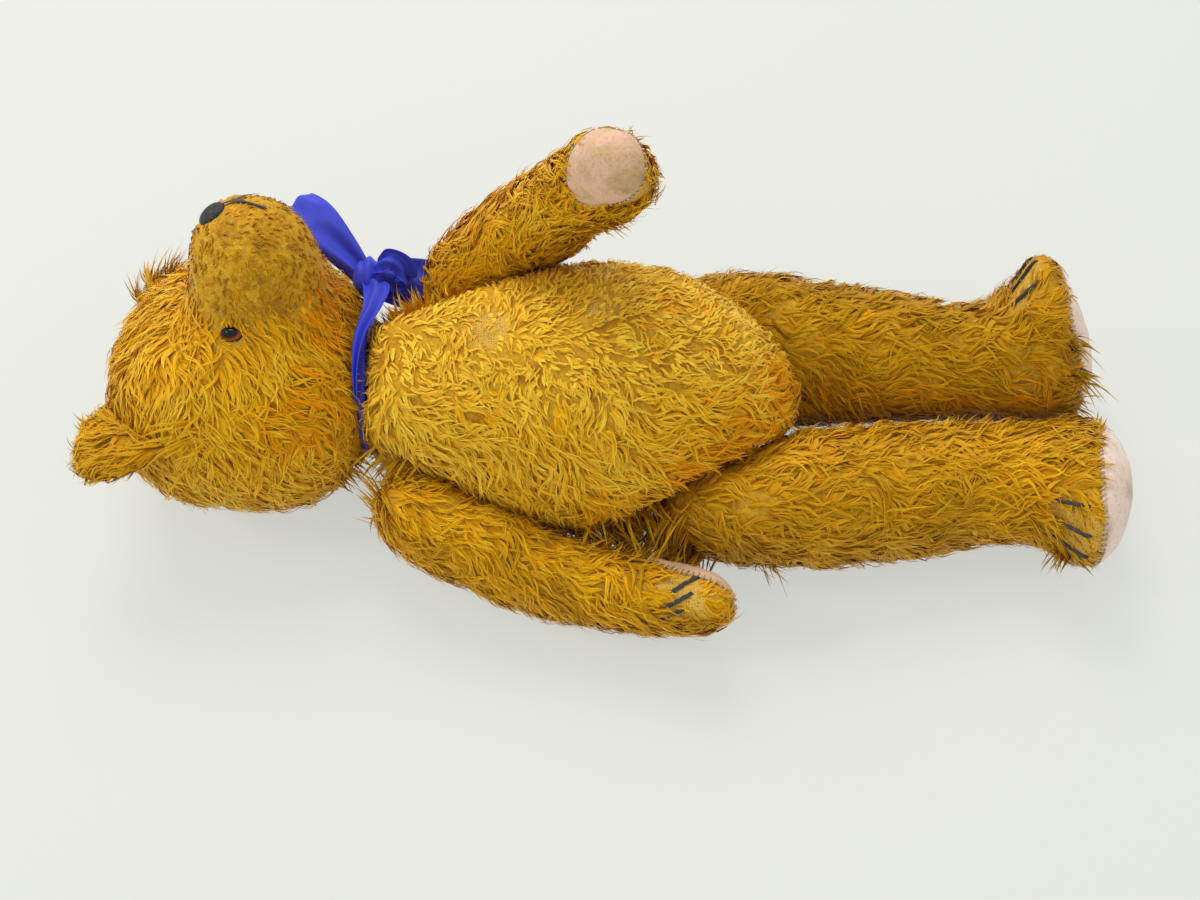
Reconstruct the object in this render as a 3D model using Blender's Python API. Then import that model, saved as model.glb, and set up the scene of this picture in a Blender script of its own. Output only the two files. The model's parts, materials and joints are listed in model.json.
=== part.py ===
# Threadbare mohair teddy bear with a swivel neck and four disc joints, lying on its back.
# Lengths are millimetres until a mesh is made. World: +X from head to feet, +Y the bear's left,
# +Z up out of the surface it lies on.
import math

import bmesh
import bpy
from mathutils import Matrix, Vector, noise
from mathutils.bvhtree import BVHTree

MM = 0.001
GAP = 0.35  # what touching pieces keep between them

# the torso, from the neck plane to the crotch
TORSO_LENGTH = 212
TORSO_START = -3  # its rounded neck end is cut flat at the joint
TORSO_AXIS_HEIGHT = 63  # the back has settled flat, so this is less than the half depth
TORSO_ROLL = 10  # degrees, towards the bear's right
TORSO_YAW = -3  # degrees, the hips towards the bear's right
TORSO_NECK_CAP = 13
TORSO_END_CAP = 92
# distance from the neck, then half width and half depth
TORSO_WIDTHS = [(0, 47, 46), (22, 54, 52), (62, 63, 61), (102, 68, 66), (142, 69, 67), (212, 66, 65)]

# the head, along its own face direction from the back of the skull to the nose
HEAD_TURN = 24  # degrees to the bear's left of its torso
HEAD_PITCH = -1  # the face looks a little towards the chest
SKULL_ABOVE_NECK = 67
HEAD_BACK = -63
NOSE_REACH = 108
# distance forward, then drop towards the neck, half height and half width
HEAD_WIDTHS = [
    (-63, 3, 63, 62), (-10, 4, 66, 64), (14, 4, 65, 63), (34, 5, 56, 56), (48, 11, 43, 45),
    (60, 15, 35, 37), (76, 15, 31.5, 33), (92, 14, 29, 30), (108, 12, 28, 29),
]
HEAD_SQUARENESS = 2.55  # exponent of the superellipse that gives full cheeks

EAR_ANGLE = 52  # degrees from the crown towards the side
EAR_WIDTH = 46
EAR_HEIGHT = 26
EAR_THICKNESS = 9
EAR_FORWARD = 10
EAR_SEAM = 1.9  # the seam that holds the ear off the head
EYE_DIAMETER = 11.5
EYE_SIDE = 36
EYE_ABOVE = 57  # above the neck plane
SHANK_DIAMETER = 2.4
SHANK_LENGTH = 8

# arms, from the joint's centre down to the paw: distance, forward bow, outward offset,
# half depth (fore and aft) and half thickness (outward)
ARM_TOP = -29
ARM_END = 154
# the arm's inner side is flat this far down, and over the next stretch it rounds out again
ARM_BESIDE_TORSO = 80
FREE_OVER = 30
ROUND_AGAIN = 18
ARM_WIDTHS = [
    (-29, 0, 16, 26, 21), (0, 0, 17, 28, 22.5), (30, 0, 18, 27, 23), (65, 2, 16, 25, 22),
    (100, 8, 12, 23, 19.5), (126, 18, 6.5, 22, 17), (154, 31, 2, 21, 15.5),
]
# legs: the same, up to the sole
LEG_TOP = -42
LEG_END = 198
ANKLE = 132
LEG_WIDTHS = [
    (-42, 0, 20, 38, 27), (0, 0, 22, 42, 31), (35, 0, 24.5, 40.5, 33), (75, 0, 26, 36, 33),
    (115, 0, 27, 31.5, 31), (138, 1, 27.5, 30, 29.5), (156, 9, 28, 39, 31.5), (171, 17, 28.5, 47, 34),
    (198, 19, 29, 50, 35),
]

# each joint's centre in the torso: distance from the neck, plane's distance from the torso's axis,
# tilt of the plane's normal along the torso (minus: towards the head), and the angle of the normal
# from straight sideways (plus: towards the belly)
LEFT_SHOULDER = (53, 44, -24, 12)
RIGHT_SHOULDER = (38, 49, -21.5, -8)
LEFT_HIP = (172, 27, 30, -32)
RIGHT_HIP = (181, 27, 30, -22)
# degrees: each limb forward from hanging straight down, how far the leg leans out of its
# joint's plane, how far the foot is turned out, and how far the toes are drawn up
LEFT_ARM_RAISE = 47
RIGHT_ARM_RAISE = -6
LEFT_LEG_RAISE = -2
RIGHT_LEG_RAISE = -6
LEFT_LEG_LEAN = 29.5
RIGHT_LEG_LEAN = 21
LEFT_PAW_TURN = 46
RIGHT_PAW_TURN = -12
LEFT_FOOT_TURN = 4
RIGHT_FOOT_TURN = 30
TOES_UP = 21

# joint hardware
NECK_DISC = 46
SHOULDER_DISC = 31
HIP_DISC = 39
DISC_THICKNESS = 3
SKIN_AT_JOINT = 1.6  # cloth between the two discs, on each side
WASHER_DIAMETER = 13
WASHER_THICKNESS = 1
PIN_DIAMETER = 3
PIN_HEAD = 7
PIN_CURL = 8

PAD_THICKNESS = 1.3
PAD_GAP = 0.6  # the felt lies over the pile beneath its edge
STITCH_WIDTH = 2.2
STITCH_THICKNESS = 0.9
CLAW_LENGTH = 19
CLAW_GAP = 0.5  # a straight stitch bridges the curve of the paw
LIFT_STEP = 0.2  # thin pieces are raised by this until they clear the skin
MOST_LIFT = 3
REACH = 60  # how far outside the skin a thin piece is brought from
PAD_ON_ARM = 133
PAW_RADIUS = 19
CLAWS_ON_ARM = 129
CLAWS_ON_LEG = 158
PAW_CLAWS = (-6, 24, 50)  # degrees round the paw, from its front towards its outer side
FOOT_CLAWS = (-13, 0, 13)
RIBBON_THICKNESS = 1.1
BOW_ANGLE = 55  # degrees of the knot round the neck, from straight up towards the left

TUFT_HEIGHT = 1.8  # depth of the tousled relief on the long pile
TUFT_LENGTH = 30

COLOURS = {
    "mohair": ((0.50, 0.27, 0.025), 0.9, 0.0),
    "muzzle_mohair": ((0.38, 0.22, 0.05), 0.9, 0.0),
    "felt": ((0.62, 0.45, 0.36), 0.95, 0.0),
    "black_thread": ((0.012, 0.013, 0.018), 0.8, 0.0),
    "eye_glass": ((0.02, 0.008, 0.004), 0.08, 0.0),
    "ribbon_satin": ((0.05, 0.06, 0.52), 0.45, 0.0),
    "hardboard": ((0.22, 0.13, 0.07), 0.8, 0.0),
    "steel": ((0.5, 0.5, 0.5), 0.35, 1.0),
}


def material(name):
    if name in bpy.data.materials:
        return bpy.data.materials[name]
    made = bpy.data.materials.new(name)
    made.use_nodes = True
    colour, roughness, metallic = COLOURS[name]
    shader = made.node_tree.nodes["Principled BSDF"]
    shader.inputs["Base Color"].default_value = (*colour, 1)
    shader.inputs["Roughness"].default_value = roughness
    shader.inputs["Metallic"].default_value = metallic
    made.diffuse_color = (*colour, 1)
    return made


def empty(name, parent, matrix):
    """An empty that carries a body; matrix is in millimetres, in the parent's frame."""
    made = bpy.data.objects.new(name, None)
    bpy.context.collection.objects.link(made)
    made.parent = parent
    made.matrix_local = in_metres(matrix)
    return made


def in_metres(matrix):
    moved = matrix.copy()
    moved.translation = matrix.translation * MM
    return moved


def place(name, mesh, parent, surface, matrix=None, smooth=True):
    """Turns a bmesh in millimetres into a named object under its parent."""
    bmesh.ops.recalc_face_normals(mesh, faces=mesh.faces)
    bmesh.ops.scale(mesh, vec=(MM, MM, MM), verts=mesh.verts)
    data = bpy.data.meshes.new(name)
    mesh.to_mesh(data)
    mesh.free()
    if smooth:
        data.shade_smooth()
    made = bpy.data.objects.new(name, data)
    bpy.context.collection.objects.link(made)
    made.parent = parent
    if matrix:
        made.matrix_local = in_metres(matrix)
    if surface:
        data.materials.append(material(surface))
    return made


def cutter(name, mesh, parent, matrix=None):
    made = place(name, mesh, parent, None, matrix, smooth=False)
    made.hide_render = True
    made.display_type = "WIRE"
    return made


def boolean(target, tool, operation):
    change = target.modifiers.new(tool.name, "BOOLEAN")
    change.operation = operation
    change.solver = "EXACT"
    change.object = tool


def between(rows, x):
    """The row at x, by smooth interpolation between the rows on either side."""
    if x <= rows[0][0]:
        return rows[0][1:]
    for i in range(len(rows) - 1):
        a, b = rows[i], rows[i + 1]
        if x <= b[0]:
            before = rows[max(i - 1, 0)]
            after = rows[min(i + 2, len(rows) - 1)]
            t = (x - a[0]) / (b[0] - a[0])
            return [hermite(before, a, b, after, k, t) for k in range(1, len(a))]
    return rows[-1][1:]


def hermite(before, a, b, after, k, t):
    span = b[0] - a[0]
    slope_a = (b[k] - before[k]) / (b[0] - before[0]) * span
    slope_b = (after[k] - a[k]) / (after[0] - a[0]) * span
    return (
        (2 * t**3 - 3 * t**2 + 1) * a[k]
        + (t**3 - 2 * t**2 + t) * slope_a
        + (3 * t**2 - 2 * t**3) * b[k]
        + (t**3 - t**2) * slope_b
    )


def stops(start, end, start_cap, end_cap, cap_rings, step):
    """Distances of the rings of a closed form: crowded where its ends round off, even between."""
    angles = [math.pi / 2 * i / cap_rings for i in range(1, cap_rings + 1)]
    first = [start + start_cap * (1 - math.cos(a)) for a in angles]
    last = [end - end_cap * (1 - math.cos(a)) for a in reversed(angles)]
    span = last[0] - first[-1]
    count = max(1, round(span / step))
    middle = [first[-1] + span * i / count for i in range(1, count)]
    return first + middle + (last if span > 0.1 else last[1:])


def dome(x, start, end, start_cap, end_cap):
    """How much of its full width a form with rounded ends has at x."""
    share = 1.0
    if x < start + start_cap:
        share *= math.sqrt(max(0, 1 - ((start + start_cap - x) / start_cap) ** 2))
    if x > end - end_cap:
        share *= math.sqrt(max(0, 1 - ((x - end + end_cap) / end_cap) ** 2))
    return share


def loft(rings, first_pole, last_pole):
    """A closed mesh through rings of points, with a pole at each end."""
    mesh = bmesh.new()
    grid = [[mesh.verts.new(p) for p in ring] for ring in rings]
    sides = len(rings[0])
    for one, two in zip(grid, grid[1:]):
        for i in range(sides):
            j = (i + 1) % sides
            mesh.faces.new((one[i], one[j], two[j], two[i]))
    for ring, pole in ((grid[0], first_pole), (grid[-1], last_pole)):
        tip = mesh.verts.new(pole)
        for i in range(sides):
            mesh.faces.new((ring[i], tip, ring[(i + 1) % sides]))
    bmesh.ops.recalc_face_normals(mesh, faces=mesh.faces)
    return mesh


def section(x, centre, half, sides, squareness=2.0):
    """Points of a superellipse in the plane at x."""
    points = []
    for i in range(sides):
        a = 2 * math.pi * (i + 0.5) / sides
        c, s = math.cos(a), math.sin(a)
        y = centre[0] + half[0] * math.copysign(abs(c) ** (2 / squareness), c)
        z = centre[1] + half[1] * math.copysign(abs(s) ** (2 / squareness), s)
        points.append(Vector((x, y, z)))
    return points


def slice_flat(mesh, point, normal):
    """Cuts away what lies beyond a plane, and closes the cut with one flat face."""
    whole = mesh.verts[:] + mesh.edges[:] + mesh.faces[:]
    cut = bmesh.ops.bisect_plane(
        mesh, geom=whole, plane_co=point, plane_no=normal, clear_outer=True, dist=1e-4
    )
    rim = [e for e in cut["geom_cut"] if isinstance(e, bmesh.types.BMEdge)]
    bmesh.ops.edgeloop_fill(mesh, edges=rim)


def table_plane(frame):
    """The surface that the bear lies on, as a point and an outward normal in a frame's terms."""
    back = frame.inverted()
    return back @ Vector((0, 0, 0)), (back.to_3x3() @ Vector((0, 0, -1))).normalized()


def tousle(mesh, flats, height=TUFT_HEIGHT):
    """Raises tufts that lie along the form, and leaves the flats at the joints alone."""
    mesh.normal_update()
    moves = []
    for vert in mesh.verts:
        clear = 1.0
        for point, normal in flats:
            depth = (point - vert.co).dot(normal)
            clear = min(clear, max(0.0, (depth - 3) / 14))
        p = vert.co / TUFT_LENGTH
        lift = noise.noise(Vector((p.x * 1.2, p.y * 2.1, p.z * 2.1)))
        lift += 0.5 * noise.noise(Vector((p.x * 2.6 + 7, p.y * 4.2, p.z * 4.2)))
        moves.append((vert, vert.normal * (height * lift * clear)))
    for vert, move in moves:
        vert.co += move


def turned(profile, sides):
    """A closed turned form about +Z; the profile runs from axis to axis as (radius, z)."""
    inner = [p for p in profile if p[0] > 0]
    rings = [
        [
            Vector((r * math.cos(2 * math.pi * i / sides), r * math.sin(2 * math.pi * i / sides), z))
            for i in range(sides)
        ]
        for r, z in inner
    ]
    return loft(rings, Vector((0, 0, profile[0][1])), Vector((0, 0, profile[-1][1])))


def annulus(outer, inner, bottom, top, sides):
    """A flat ring about +Z with a round hole."""
    mesh = bmesh.new()
    grid = []
    for r, z in ((outer, bottom), (outer, top), (inner, top), (inner, bottom)):
        ring = []
        for i in range(sides):
            a = 2 * math.pi * i / sides
            ring.append(mesh.verts.new((r * math.cos(a), r * math.sin(a), z)))
        grid.append(ring)
    for one, two in zip(grid, grid[1:] + grid[:1]):
        for i in range(sides):
            j = (i + 1) % sides
            mesh.faces.new((one[i], one[j], two[j], two[i]))
    return mesh


def skin_tree(mesh):
    return BVHTree.FromBMesh(mesh)


def patch(tree, centre, normal, up, outline, thickness, rings=2, gap=GAP, crown=0.0, wrap=None):
    """A thin piece that follows the surface below it, lifted until it is clear of it."""
    mesh = fitted_patch(tree, centre, normal, up, outline, thickness, rings, gap, crown, wrap)
    lift = 0
    while skin_tree(mesh).overlap(tree) and lift < MOST_LIFT:
        mesh.free()
        lift += LIFT_STEP
        high = gap + lift + LIFT_STEP / 2
        mesh = fitted_patch(tree, centre, normal, up, outline, thickness, rings, high, crown, wrap)
    return mesh


def fitted_patch(tree, centre, normal, up, outline, thickness, rings, gap, crown, wrap):
    """outline: (u, v) points round the middle, v being towards up.

    wrap: the radius that the piece is bent round, and how far up it starts to close over an end."""
    normal = normal.normalized()
    side = up.cross(normal).normalized()
    up = normal.cross(side).normalized()

    def seat(u, v):
        place_on, away = centre + side * u + up * v, normal
        if wrap:
            radius, end = wrap
            place_on = centre - normal * radius + up * min(v, end)
            away = normal * math.cos(u / radius) + side * math.sin(u / radius)
            away = (away + up * max(0, v - end) / radius).normalized()
        spot, facing, _, _ = tree.ray_cast(place_on + away * REACH, -away)
        if not spot:
            spot, facing, _, _ = tree.find_nearest(place_on)
        return spot, (facing + away).normalized()

    mesh = bmesh.new()
    below, above = [], []
    middle, facing = seat(0, 0)
    low_tip = mesh.verts.new(middle + facing * gap)
    high_tip = mesh.verts.new(middle + facing * (gap + thickness + crown))
    for k in range(1, rings + 1):
        share = k / rings
        low_ring, high_ring = [], []
        for u, v in outline:
            spot, facing = seat(u * share, v * share)
            rise = thickness + crown * (1 - share**2)
            low_ring.append(mesh.verts.new(spot + facing * gap))
            high_ring.append(mesh.verts.new(spot + facing * (gap + rise)))
        below.append(low_ring)
        above.append(high_ring)
    count = len(outline)
    for i in range(count):
        j = (i + 1) % count
        mesh.faces.new((above[0][i], above[0][j], high_tip))
        mesh.faces.new((below[0][j], below[0][i], low_tip))
        for k in range(rings - 1):
            mesh.faces.new((above[k][j], above[k][i], above[k + 1][i], above[k + 1][j]))
            mesh.faces.new((below[k][i], below[k][j], below[k + 1][j], below[k + 1][i]))
        mesh.faces.new((above[-1][i], above[-1][j], below[-1][j], below[-1][i]))
    return mesh


def oval(half_side, half_up, count=16, narrowing=0.0):
    """An oval outline; narrowing draws in its upper end."""
    points = []
    for i in range(count):
        a = 2 * math.pi * i / count
        v = half_up * math.sin(a)
        u = half_side * math.cos(a) * (1 - narrowing * math.sin(a))
        points.append((u, v))
    return points


def stitch(length, lean=0.0):
    """The outline of one straight embroidered stitch, leaning by degrees from up."""
    half, wide = length / 2, STITCH_WIDTH / 2
    corners = [
        (wide, -half * 0.9), (wide, 0), (wide, half * 0.9), (0, half),
        (-wide, half * 0.9), (-wide, 0), (-wide, -half * 0.9), (0, -half),
    ]
    turn = Matrix.Rotation(math.radians(lean), 2)
    return [tuple(turn @ Vector(c)) for c in corners]


def joint_frame(seat, side, raise_angle):
    """The frame of a limb's joint in the torso: +X down the limb, +Y forward, +Z along the axis
    that swings it forward. side is -1 on the bear's right and 1 on its left."""
    along, distance, tilt, climb = seat
    tilt, climb = math.radians(tilt), math.radians(climb)
    radial = Vector((0, side * math.cos(climb), math.sin(climb)))
    outward = Vector((math.sin(tilt), 0, 0)) + radial * math.cos(tilt)
    down = Vector((math.cos(tilt), 0, 0)) - radial * math.sin(tilt)
    axis = outward * -side
    forward = axis.cross(down)
    frame = Matrix((down, forward, axis)).transposed().to_4x4()
    frame.translation = Vector((along, 0, 0)) + radial * distance
    return frame @ Matrix.Rotation(math.radians(raise_angle), 4, "Z"), outward


def hollow_for_joint(skin, name, frame, disc, deep):
    """Leaves room inside a skin for its disc, washer and pin, open through the pin's hole.
    The frame's +Z points into the skin from the joint's plane."""
    top = SKIN_AT_JOINT + DISC_THICKNESS + 2 * GAP
    room = disc / 2 + GAP
    pin = PIN_DIAMETER / 2 + GAP
    profile = [
        (0, -2), (pin, -2), (pin, SKIN_AT_JOINT), (room, SKIN_AT_JOINT), (room, top),
        (PIN_CURL + 1.5, top), (PIN_CURL + 1.5, top + deep), (0, top + deep),
    ]
    tool = cutter(f"{name}_room", turned(profile, 16), skin.parent, frame)
    boolean(skin, tool, "DIFFERENCE")


def disc_and_washer(name, parent, frame, disc):
    """A hardboard disc against the inside of the cloth, and the steel washer on it."""
    low = SKIN_AT_JOINT + GAP
    hole = PIN_DIAMETER / 2 + GAP
    top = low + DISC_THICKNESS
    place(f"{name}_disc", annulus(disc / 2, hole, low, top, 16), parent, "hardboard", frame, False)
    washer = annulus(WASHER_DIAMETER / 2, hole, top + 0.1, top + 0.1 + WASHER_THICKNESS, 10)
    place(f"{name}_washer", washer, parent, "steel", frame, False)


def cotter_pin(name, parent, frame):
    """A split pin through the joint, along +Z: a flat eye in the limb, two curled legs in the
    torso. The frame's origin lies on the joint's plane, with +Z into the torso."""
    under = SKIN_AT_JOINT + DISC_THICKNESS + GAP + 0.1 + WASHER_THICKNESS + 0.2
    radius = PIN_DIAMETER / 2
    wire = radius * 0.62
    mesh = turned(
        [(0, -under - 3), (PIN_HEAD / 2, -under - 3), (PIN_HEAD / 2, -under - 0.1),
         (radius, -under - 0.1), (radius, under + 4), (0, under + 4)],
        10,
    )
    pin = place(name, mesh, parent, "steel", frame, False)
    for side in (-1, 1):
        path = []
        curl = PIN_CURL / 3.2
        for i in range(8):
            a = math.radians(-20 + 235 * i / 7)
            out = curl * (1 - math.cos(a)) + 0.3
            path.append(Vector((side * out, 0, under + 3 + curl * math.sin(a) * 0.95)))
        leg = cutter(f"{name}_leg_{side}", swept(path, wire, 6), parent, frame)
        boolean(pin, leg, "UNION")
    return pin


def swept(path, radius, sides):
    """A round wire along a path that lies in the X-Z plane."""
    rings = []
    for i, point in enumerate(path):
        ahead = path[min(i + 1, len(path) - 1)] - path[max(i - 1, 0)]
        ahead.normalize()
        across = Vector((0, 1, 0))
        over = ahead.cross(across)
        ring = []
        for k in range(sides):
            a = 2 * math.pi * k / sides
            ring.append(point + across * radius * math.cos(a) + over * radius * math.sin(a))
        rings.append(ring)
    return loft(rings, path[0], path[-1])


def hardware(name, limb_empty, torso_empty, limb_frame, torso_frame, disc):
    """The five pieces of one joint."""
    disc_and_washer(f"{name}_limb", limb_empty, limb_frame, disc)
    disc_and_washer(f"{name}_torso", torso_empty, torso_frame, disc)
    cotter_pin(f"{name}_pin", limb_empty, limb_frame @ Matrix.Rotation(math.pi, 4, "X"))


def torso(parent, joints, table):
    rings = []
    for x in stops(TORSO_START, TORSO_LENGTH, TORSO_NECK_CAP, TORSO_END_CAP, 5, 17):
        wide, deep = between(TORSO_WIDTHS, x)
        share = dome(x, TORSO_START, TORSO_LENGTH, TORSO_NECK_CAP, TORSO_END_CAP)
        rings.append(section(x, (0, 0), (wide * share, deep * share), 30))
    mesh = loft(rings, Vector((TORSO_START, 0, 0)), Vector((TORSO_LENGTH, 0, 0)))
    flats = [(Vector((GAP, 0, 0)), Vector((-1, 0, 0)))]
    for frame, outward, _ in joints:
        flats.append((frame.translation - outward * GAP / 2, outward))
    flats.append(table)
    tousle(mesh, flats)
    for point, normal in flats:
        slice_flat(mesh, point, normal)
    return place("torso", mesh, parent, "mohair")


def limb_mesh(rows, start, end, caps, sides, step, side, twist, lean, toes_up, wrist=None):
    """A limb hanging down +X from its joint. side is -1 on the right, where +Z is outward.

    A leg is twisted about its own line; an arm only beyond its wrist, about its middle."""
    twist_from = start if wrist is None else wrist
    rings = []
    swing = Matrix.Rotation(math.radians(lean) * side, 3, "Y")

    def settle(point, x):
        ankle = min(1, max(0, (x - ANKLE) / (end - ANKLE)))
        point = point - Vector((point.y * math.tan(math.radians(toes_up)) * ankle, 0, 0))
        turned = min(1, max(0, (x - twist_from) / (end - twist_from) * 1.4))
        turn = math.radians(twist) * turned
        bow, out, _, _ = between(rows, x)
        middle = Vector((x, bow if wrist else 0, -side * out))
        point = Matrix.Rotation(-turn * side, 3, "X") @ (point - middle) + middle
        return swing @ point

    for x in stops(start, end, caps[0], caps[1], 4, step):
        bow, out, deep, thick = between(rows, x)
        share = dome(x, start, end, *caps)
        ring = section(x, (bow, -side * out), (deep * share, thick * share), sides)
        rings.append([settle(p, x) for p in ring])
    poles = []
    for x in (start, end):
        bow, out, _, _ = between(rows, x)
        poles.append(settle(Vector((x, bow, -side * out)), x))
    return loft(rings, *poles), settle


def press_flat(mesh, side, beside_torso):
    """Presses a limb's inner side flat on its joint's plane, as far as it lies beside the torso."""
    for vert in mesh.verts:
        free = min(1, max(0, (vert.co.x - beside_torso) / FREE_OVER))
        limit = ROUND_AGAIN * free**2 * (3 - 2 * free) - GAP / 2
        if side * vert.co.z > limit:
            vert.co.z = side * limit


def limb(name, parent, mesh, side, table, beside_torso, smooth=()):
    """Tousles a limb, and flattens it where it meets the torso and the table."""
    tousle(mesh, [(Vector((0, 0, -side * GAP / 2)), Vector((0, 0, side))), *smooth])
    press_flat(mesh, side, beside_torso)
    slice_flat(mesh, *table)
    tree = skin_tree(mesh)
    return place(name, mesh, parent, "mohair"), tree


def arm(word, side, parent, table, paw_turn):
    mesh, settle = limb_mesh(
        ARM_WIDTHS, ARM_TOP, ARM_END, (29, 21), 20, 16, side, paw_turn, 0, 0, ARM_BESIDE_TORSO
    )
    skin, tree = limb(f"{word}_arm", parent, mesh, side, table, ARM_BESIDE_TORSO)

    def on_paw(along, forward=0.0, outward=0.0):
        bow, out, _, _ = between(ARM_WIDTHS, along)
        return settle(Vector((along, bow + forward, -side * (out + outward))), along)

    for_pad, for_claws = on_paw(PAD_ON_ARM), on_paw(CLAWS_ON_ARM)
    inward = (for_pad - on_paw(PAD_ON_ARM, 0, 10)).normalized()
    tipward = (on_paw(PAD_ON_ARM + 8) - on_paw(PAD_ON_ARM - 8)).normalized()
    sole, wrap = oval(20, 28, 22, 0.22), (PAW_RADIUS, 3)
    pad = patch(
        tree, for_pad + inward * PAW_RADIUS, inward, tipward, sole, PAD_THICKNESS, 4, PAD_GAP, 0, wrap
    )
    place(f"{word}_paw_pad", pad, parent, "felt")
    forward = (on_paw(CLAWS_ON_ARM, 10) - for_claws).normalized()
    outward = (on_paw(CLAWS_ON_ARM, 0, 10) - for_claws).normalized()
    for number, round_paw in enumerate(PAW_CLAWS, 1):
        c, s = math.cos(math.radians(round_paw)), math.sin(math.radians(round_paw))
        facing = forward * c + outward * s - Vector((0.15, 0, 0))
        run = Vector((0.55, 0, 0)) + (forward * s - outward * c) * 0.83
        claw = patch(tree, for_claws, facing, run, stitch(CLAW_LENGTH), STITCH_THICKNESS, 2, CLAW_GAP)
        place(f"{word}_paw_claw_{number}", claw, parent, "black_thread")
    return skin


def leg(word, side, parent, table, foot_turn, lean):
    mesh, settle = limb_mesh(
        LEG_WIDTHS, LEG_TOP, LEG_END, (40, 28), 22, 16, side, foot_turn, lean, TOES_UP
    )
    bow, out, _, _ = between(LEG_WIDTHS, LEG_END)

    def on_foot(along, forward, outward=0.0):
        return settle(Vector((along, bow + forward, -side * (out + outward))), along)

    middle = on_foot(LEG_END, 0)
    toeward = (middle - on_foot(LEG_END, -30)).normalized()
    outward = (on_foot(LEG_END, 0, 10) - middle).normalized()
    downward = toeward.cross(outward).normalized() * -side
    smooth_sole = [(middle, downward)]
    skin, tree = limb(f"{word}_leg", parent, mesh, side, table, LEG_END, smooth_sole)
    sole = oval(28, 40, 20)
    pad = patch(tree, middle + toeward * 2, downward, toeward, sole, PAD_THICKNESS, 4, PAD_GAP)
    place(f"{word}_foot_pad", pad, parent, "felt")
    for number, across in enumerate(FOOT_CLAWS, 1):
        spot = on_foot(CLAWS_ON_LEG, 30, across)
        facing = toeward * 1.0 + outward * across * 0.028
        claw = patch(tree, spot, facing, downward, stitch(CLAW_LENGTH), STITCH_THICKNESS, 2, CLAW_GAP)
        place(f"{word}_foot_claw_{number}", claw, parent, "black_thread")
    return skin


def head(parent):
    """The head's frame has +X towards the torso, +Y to its left and +Z out of its face."""
    rings = []
    tip = Matrix.Rotation(math.radians(-HEAD_PITCH), 3, "Y")
    middle = Vector((-SKULL_ABOVE_NECK, 0, 0))

    def settle(point):
        return tip @ point + middle

    for z in stops(HEAD_BACK, NOSE_REACH, 58, 24, 5, 11):
        drop, high, wide = between(HEAD_WIDTHS, z)
        share = dome(z, HEAD_BACK, NOSE_REACH, 58, 24)
        square = HEAD_SQUARENESS if z < 45 else 2.1
        flat = section(0, (0, 0), (wide * share, high * share), 28, square)
        rings.append([settle(Vector((drop + p.z, p.y, z))) for p in flat])
    poles = []
    for z in (HEAD_BACK, NOSE_REACH):
        poles.append(settle(Vector((between(HEAD_WIDTHS, z)[0], 0, z))))
    mesh = loft(rings, *poles)
    flat = (Vector((0, 0, 0)), Vector((1, 0, 0)))
    tousle(mesh, [flat, (settle(Vector((0, 0, 50))), tip @ Vector((0, 0, 1)))])
    slice_flat(mesh, *flat)
    tree = skin_tree(mesh)
    skin = place("head", mesh, parent, "mohair")

    face = tip @ Vector((0, 0, 1))
    crown = tip @ Vector((-1, 0, 0))
    nose_at = settle(Vector((-1, 0, 100)))
    nose = patch(tree, nose_at, face + crown * 0.55, crown, oval(9.5, 7, 14, -0.15), 1.6, 3, crown=1.2)
    place("nose", nose, parent, "black_thread")
    mouth_at = settle(Vector((16, 0, 104)))
    wide, reach = STITCH_WIDTH / 2, 10
    lines = [
        (wide, 1.2), (wide, 6), (wide, 12), (-wide, 12), (-wide, 6), (-wide, 1.2),
        (-reach * 0.5, -reach * 0.22), (-reach, -reach * 0.6), (-reach + 1, -reach * 0.6 - 2),
        (-reach * 0.5, -reach * 0.22 - 2.4), (0, -1.2), (reach * 0.5, -reach * 0.22 - 2.4),
        (reach - 1, -reach * 0.6 - 2), (reach, -reach * 0.6), (reach * 0.5, -reach * 0.22),
    ]
    mouth = patch(tree, mouth_at, face + crown * 0.1, crown, lines, STITCH_THICKNESS, 3, CLAW_GAP)
    place("mouth_stitch", mouth, parent, "black_thread")

    for word, side in (("left", 1), ("right", -1)):
        eye(word, side, parent, skin, tree)
        ear(word, side, parent, tree, settle, tip)
    return skin


def eye(word, side, parent, skin, tree):
    """A glass eye with a wire shank that goes into the head."""
    start = Vector((-EYE_ABOVE, side * EYE_SIDE, 90))
    spot, facing, _, _ = tree.ray_cast(start, Vector((0, 0, -1)))
    facing = (facing * 2 + Vector((0, 0, 1))).normalized()
    frame = Matrix.Translation(spot) @ facing.to_track_quat("Z", "Y").to_matrix().to_4x4()
    radius, shank, sink = EYE_DIAMETER / 2, SHANK_DIAMETER / 2, 2.6
    profile = [(0, -sink - SHANK_LENGTH), (shank, -sink - SHANK_LENGTH), (shank, -sink), (radius, -sink)]
    for i in range(1, 5):
        a = math.pi / 2 * i / 4
        profile.append((radius * math.cos(a) if i < 4 else 0, -sink + 0.8 + 4.6 * math.sin(a)))
    place(f"{word}_eye", turned(profile, 14), parent, "eye_glass", frame)
    room = [
        (0, -sink - SHANK_LENGTH - GAP), (shank + GAP, -sink - SHANK_LENGTH - GAP),
        (shank + GAP, -sink - GAP), (radius + GAP, -sink - GAP), (radius + GAP, 6), (0, 6),
    ]
    boolean(skin, cutter(f"{word}_eye_socket", turned(room, 14), parent, frame), "DIFFERENCE")


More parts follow.
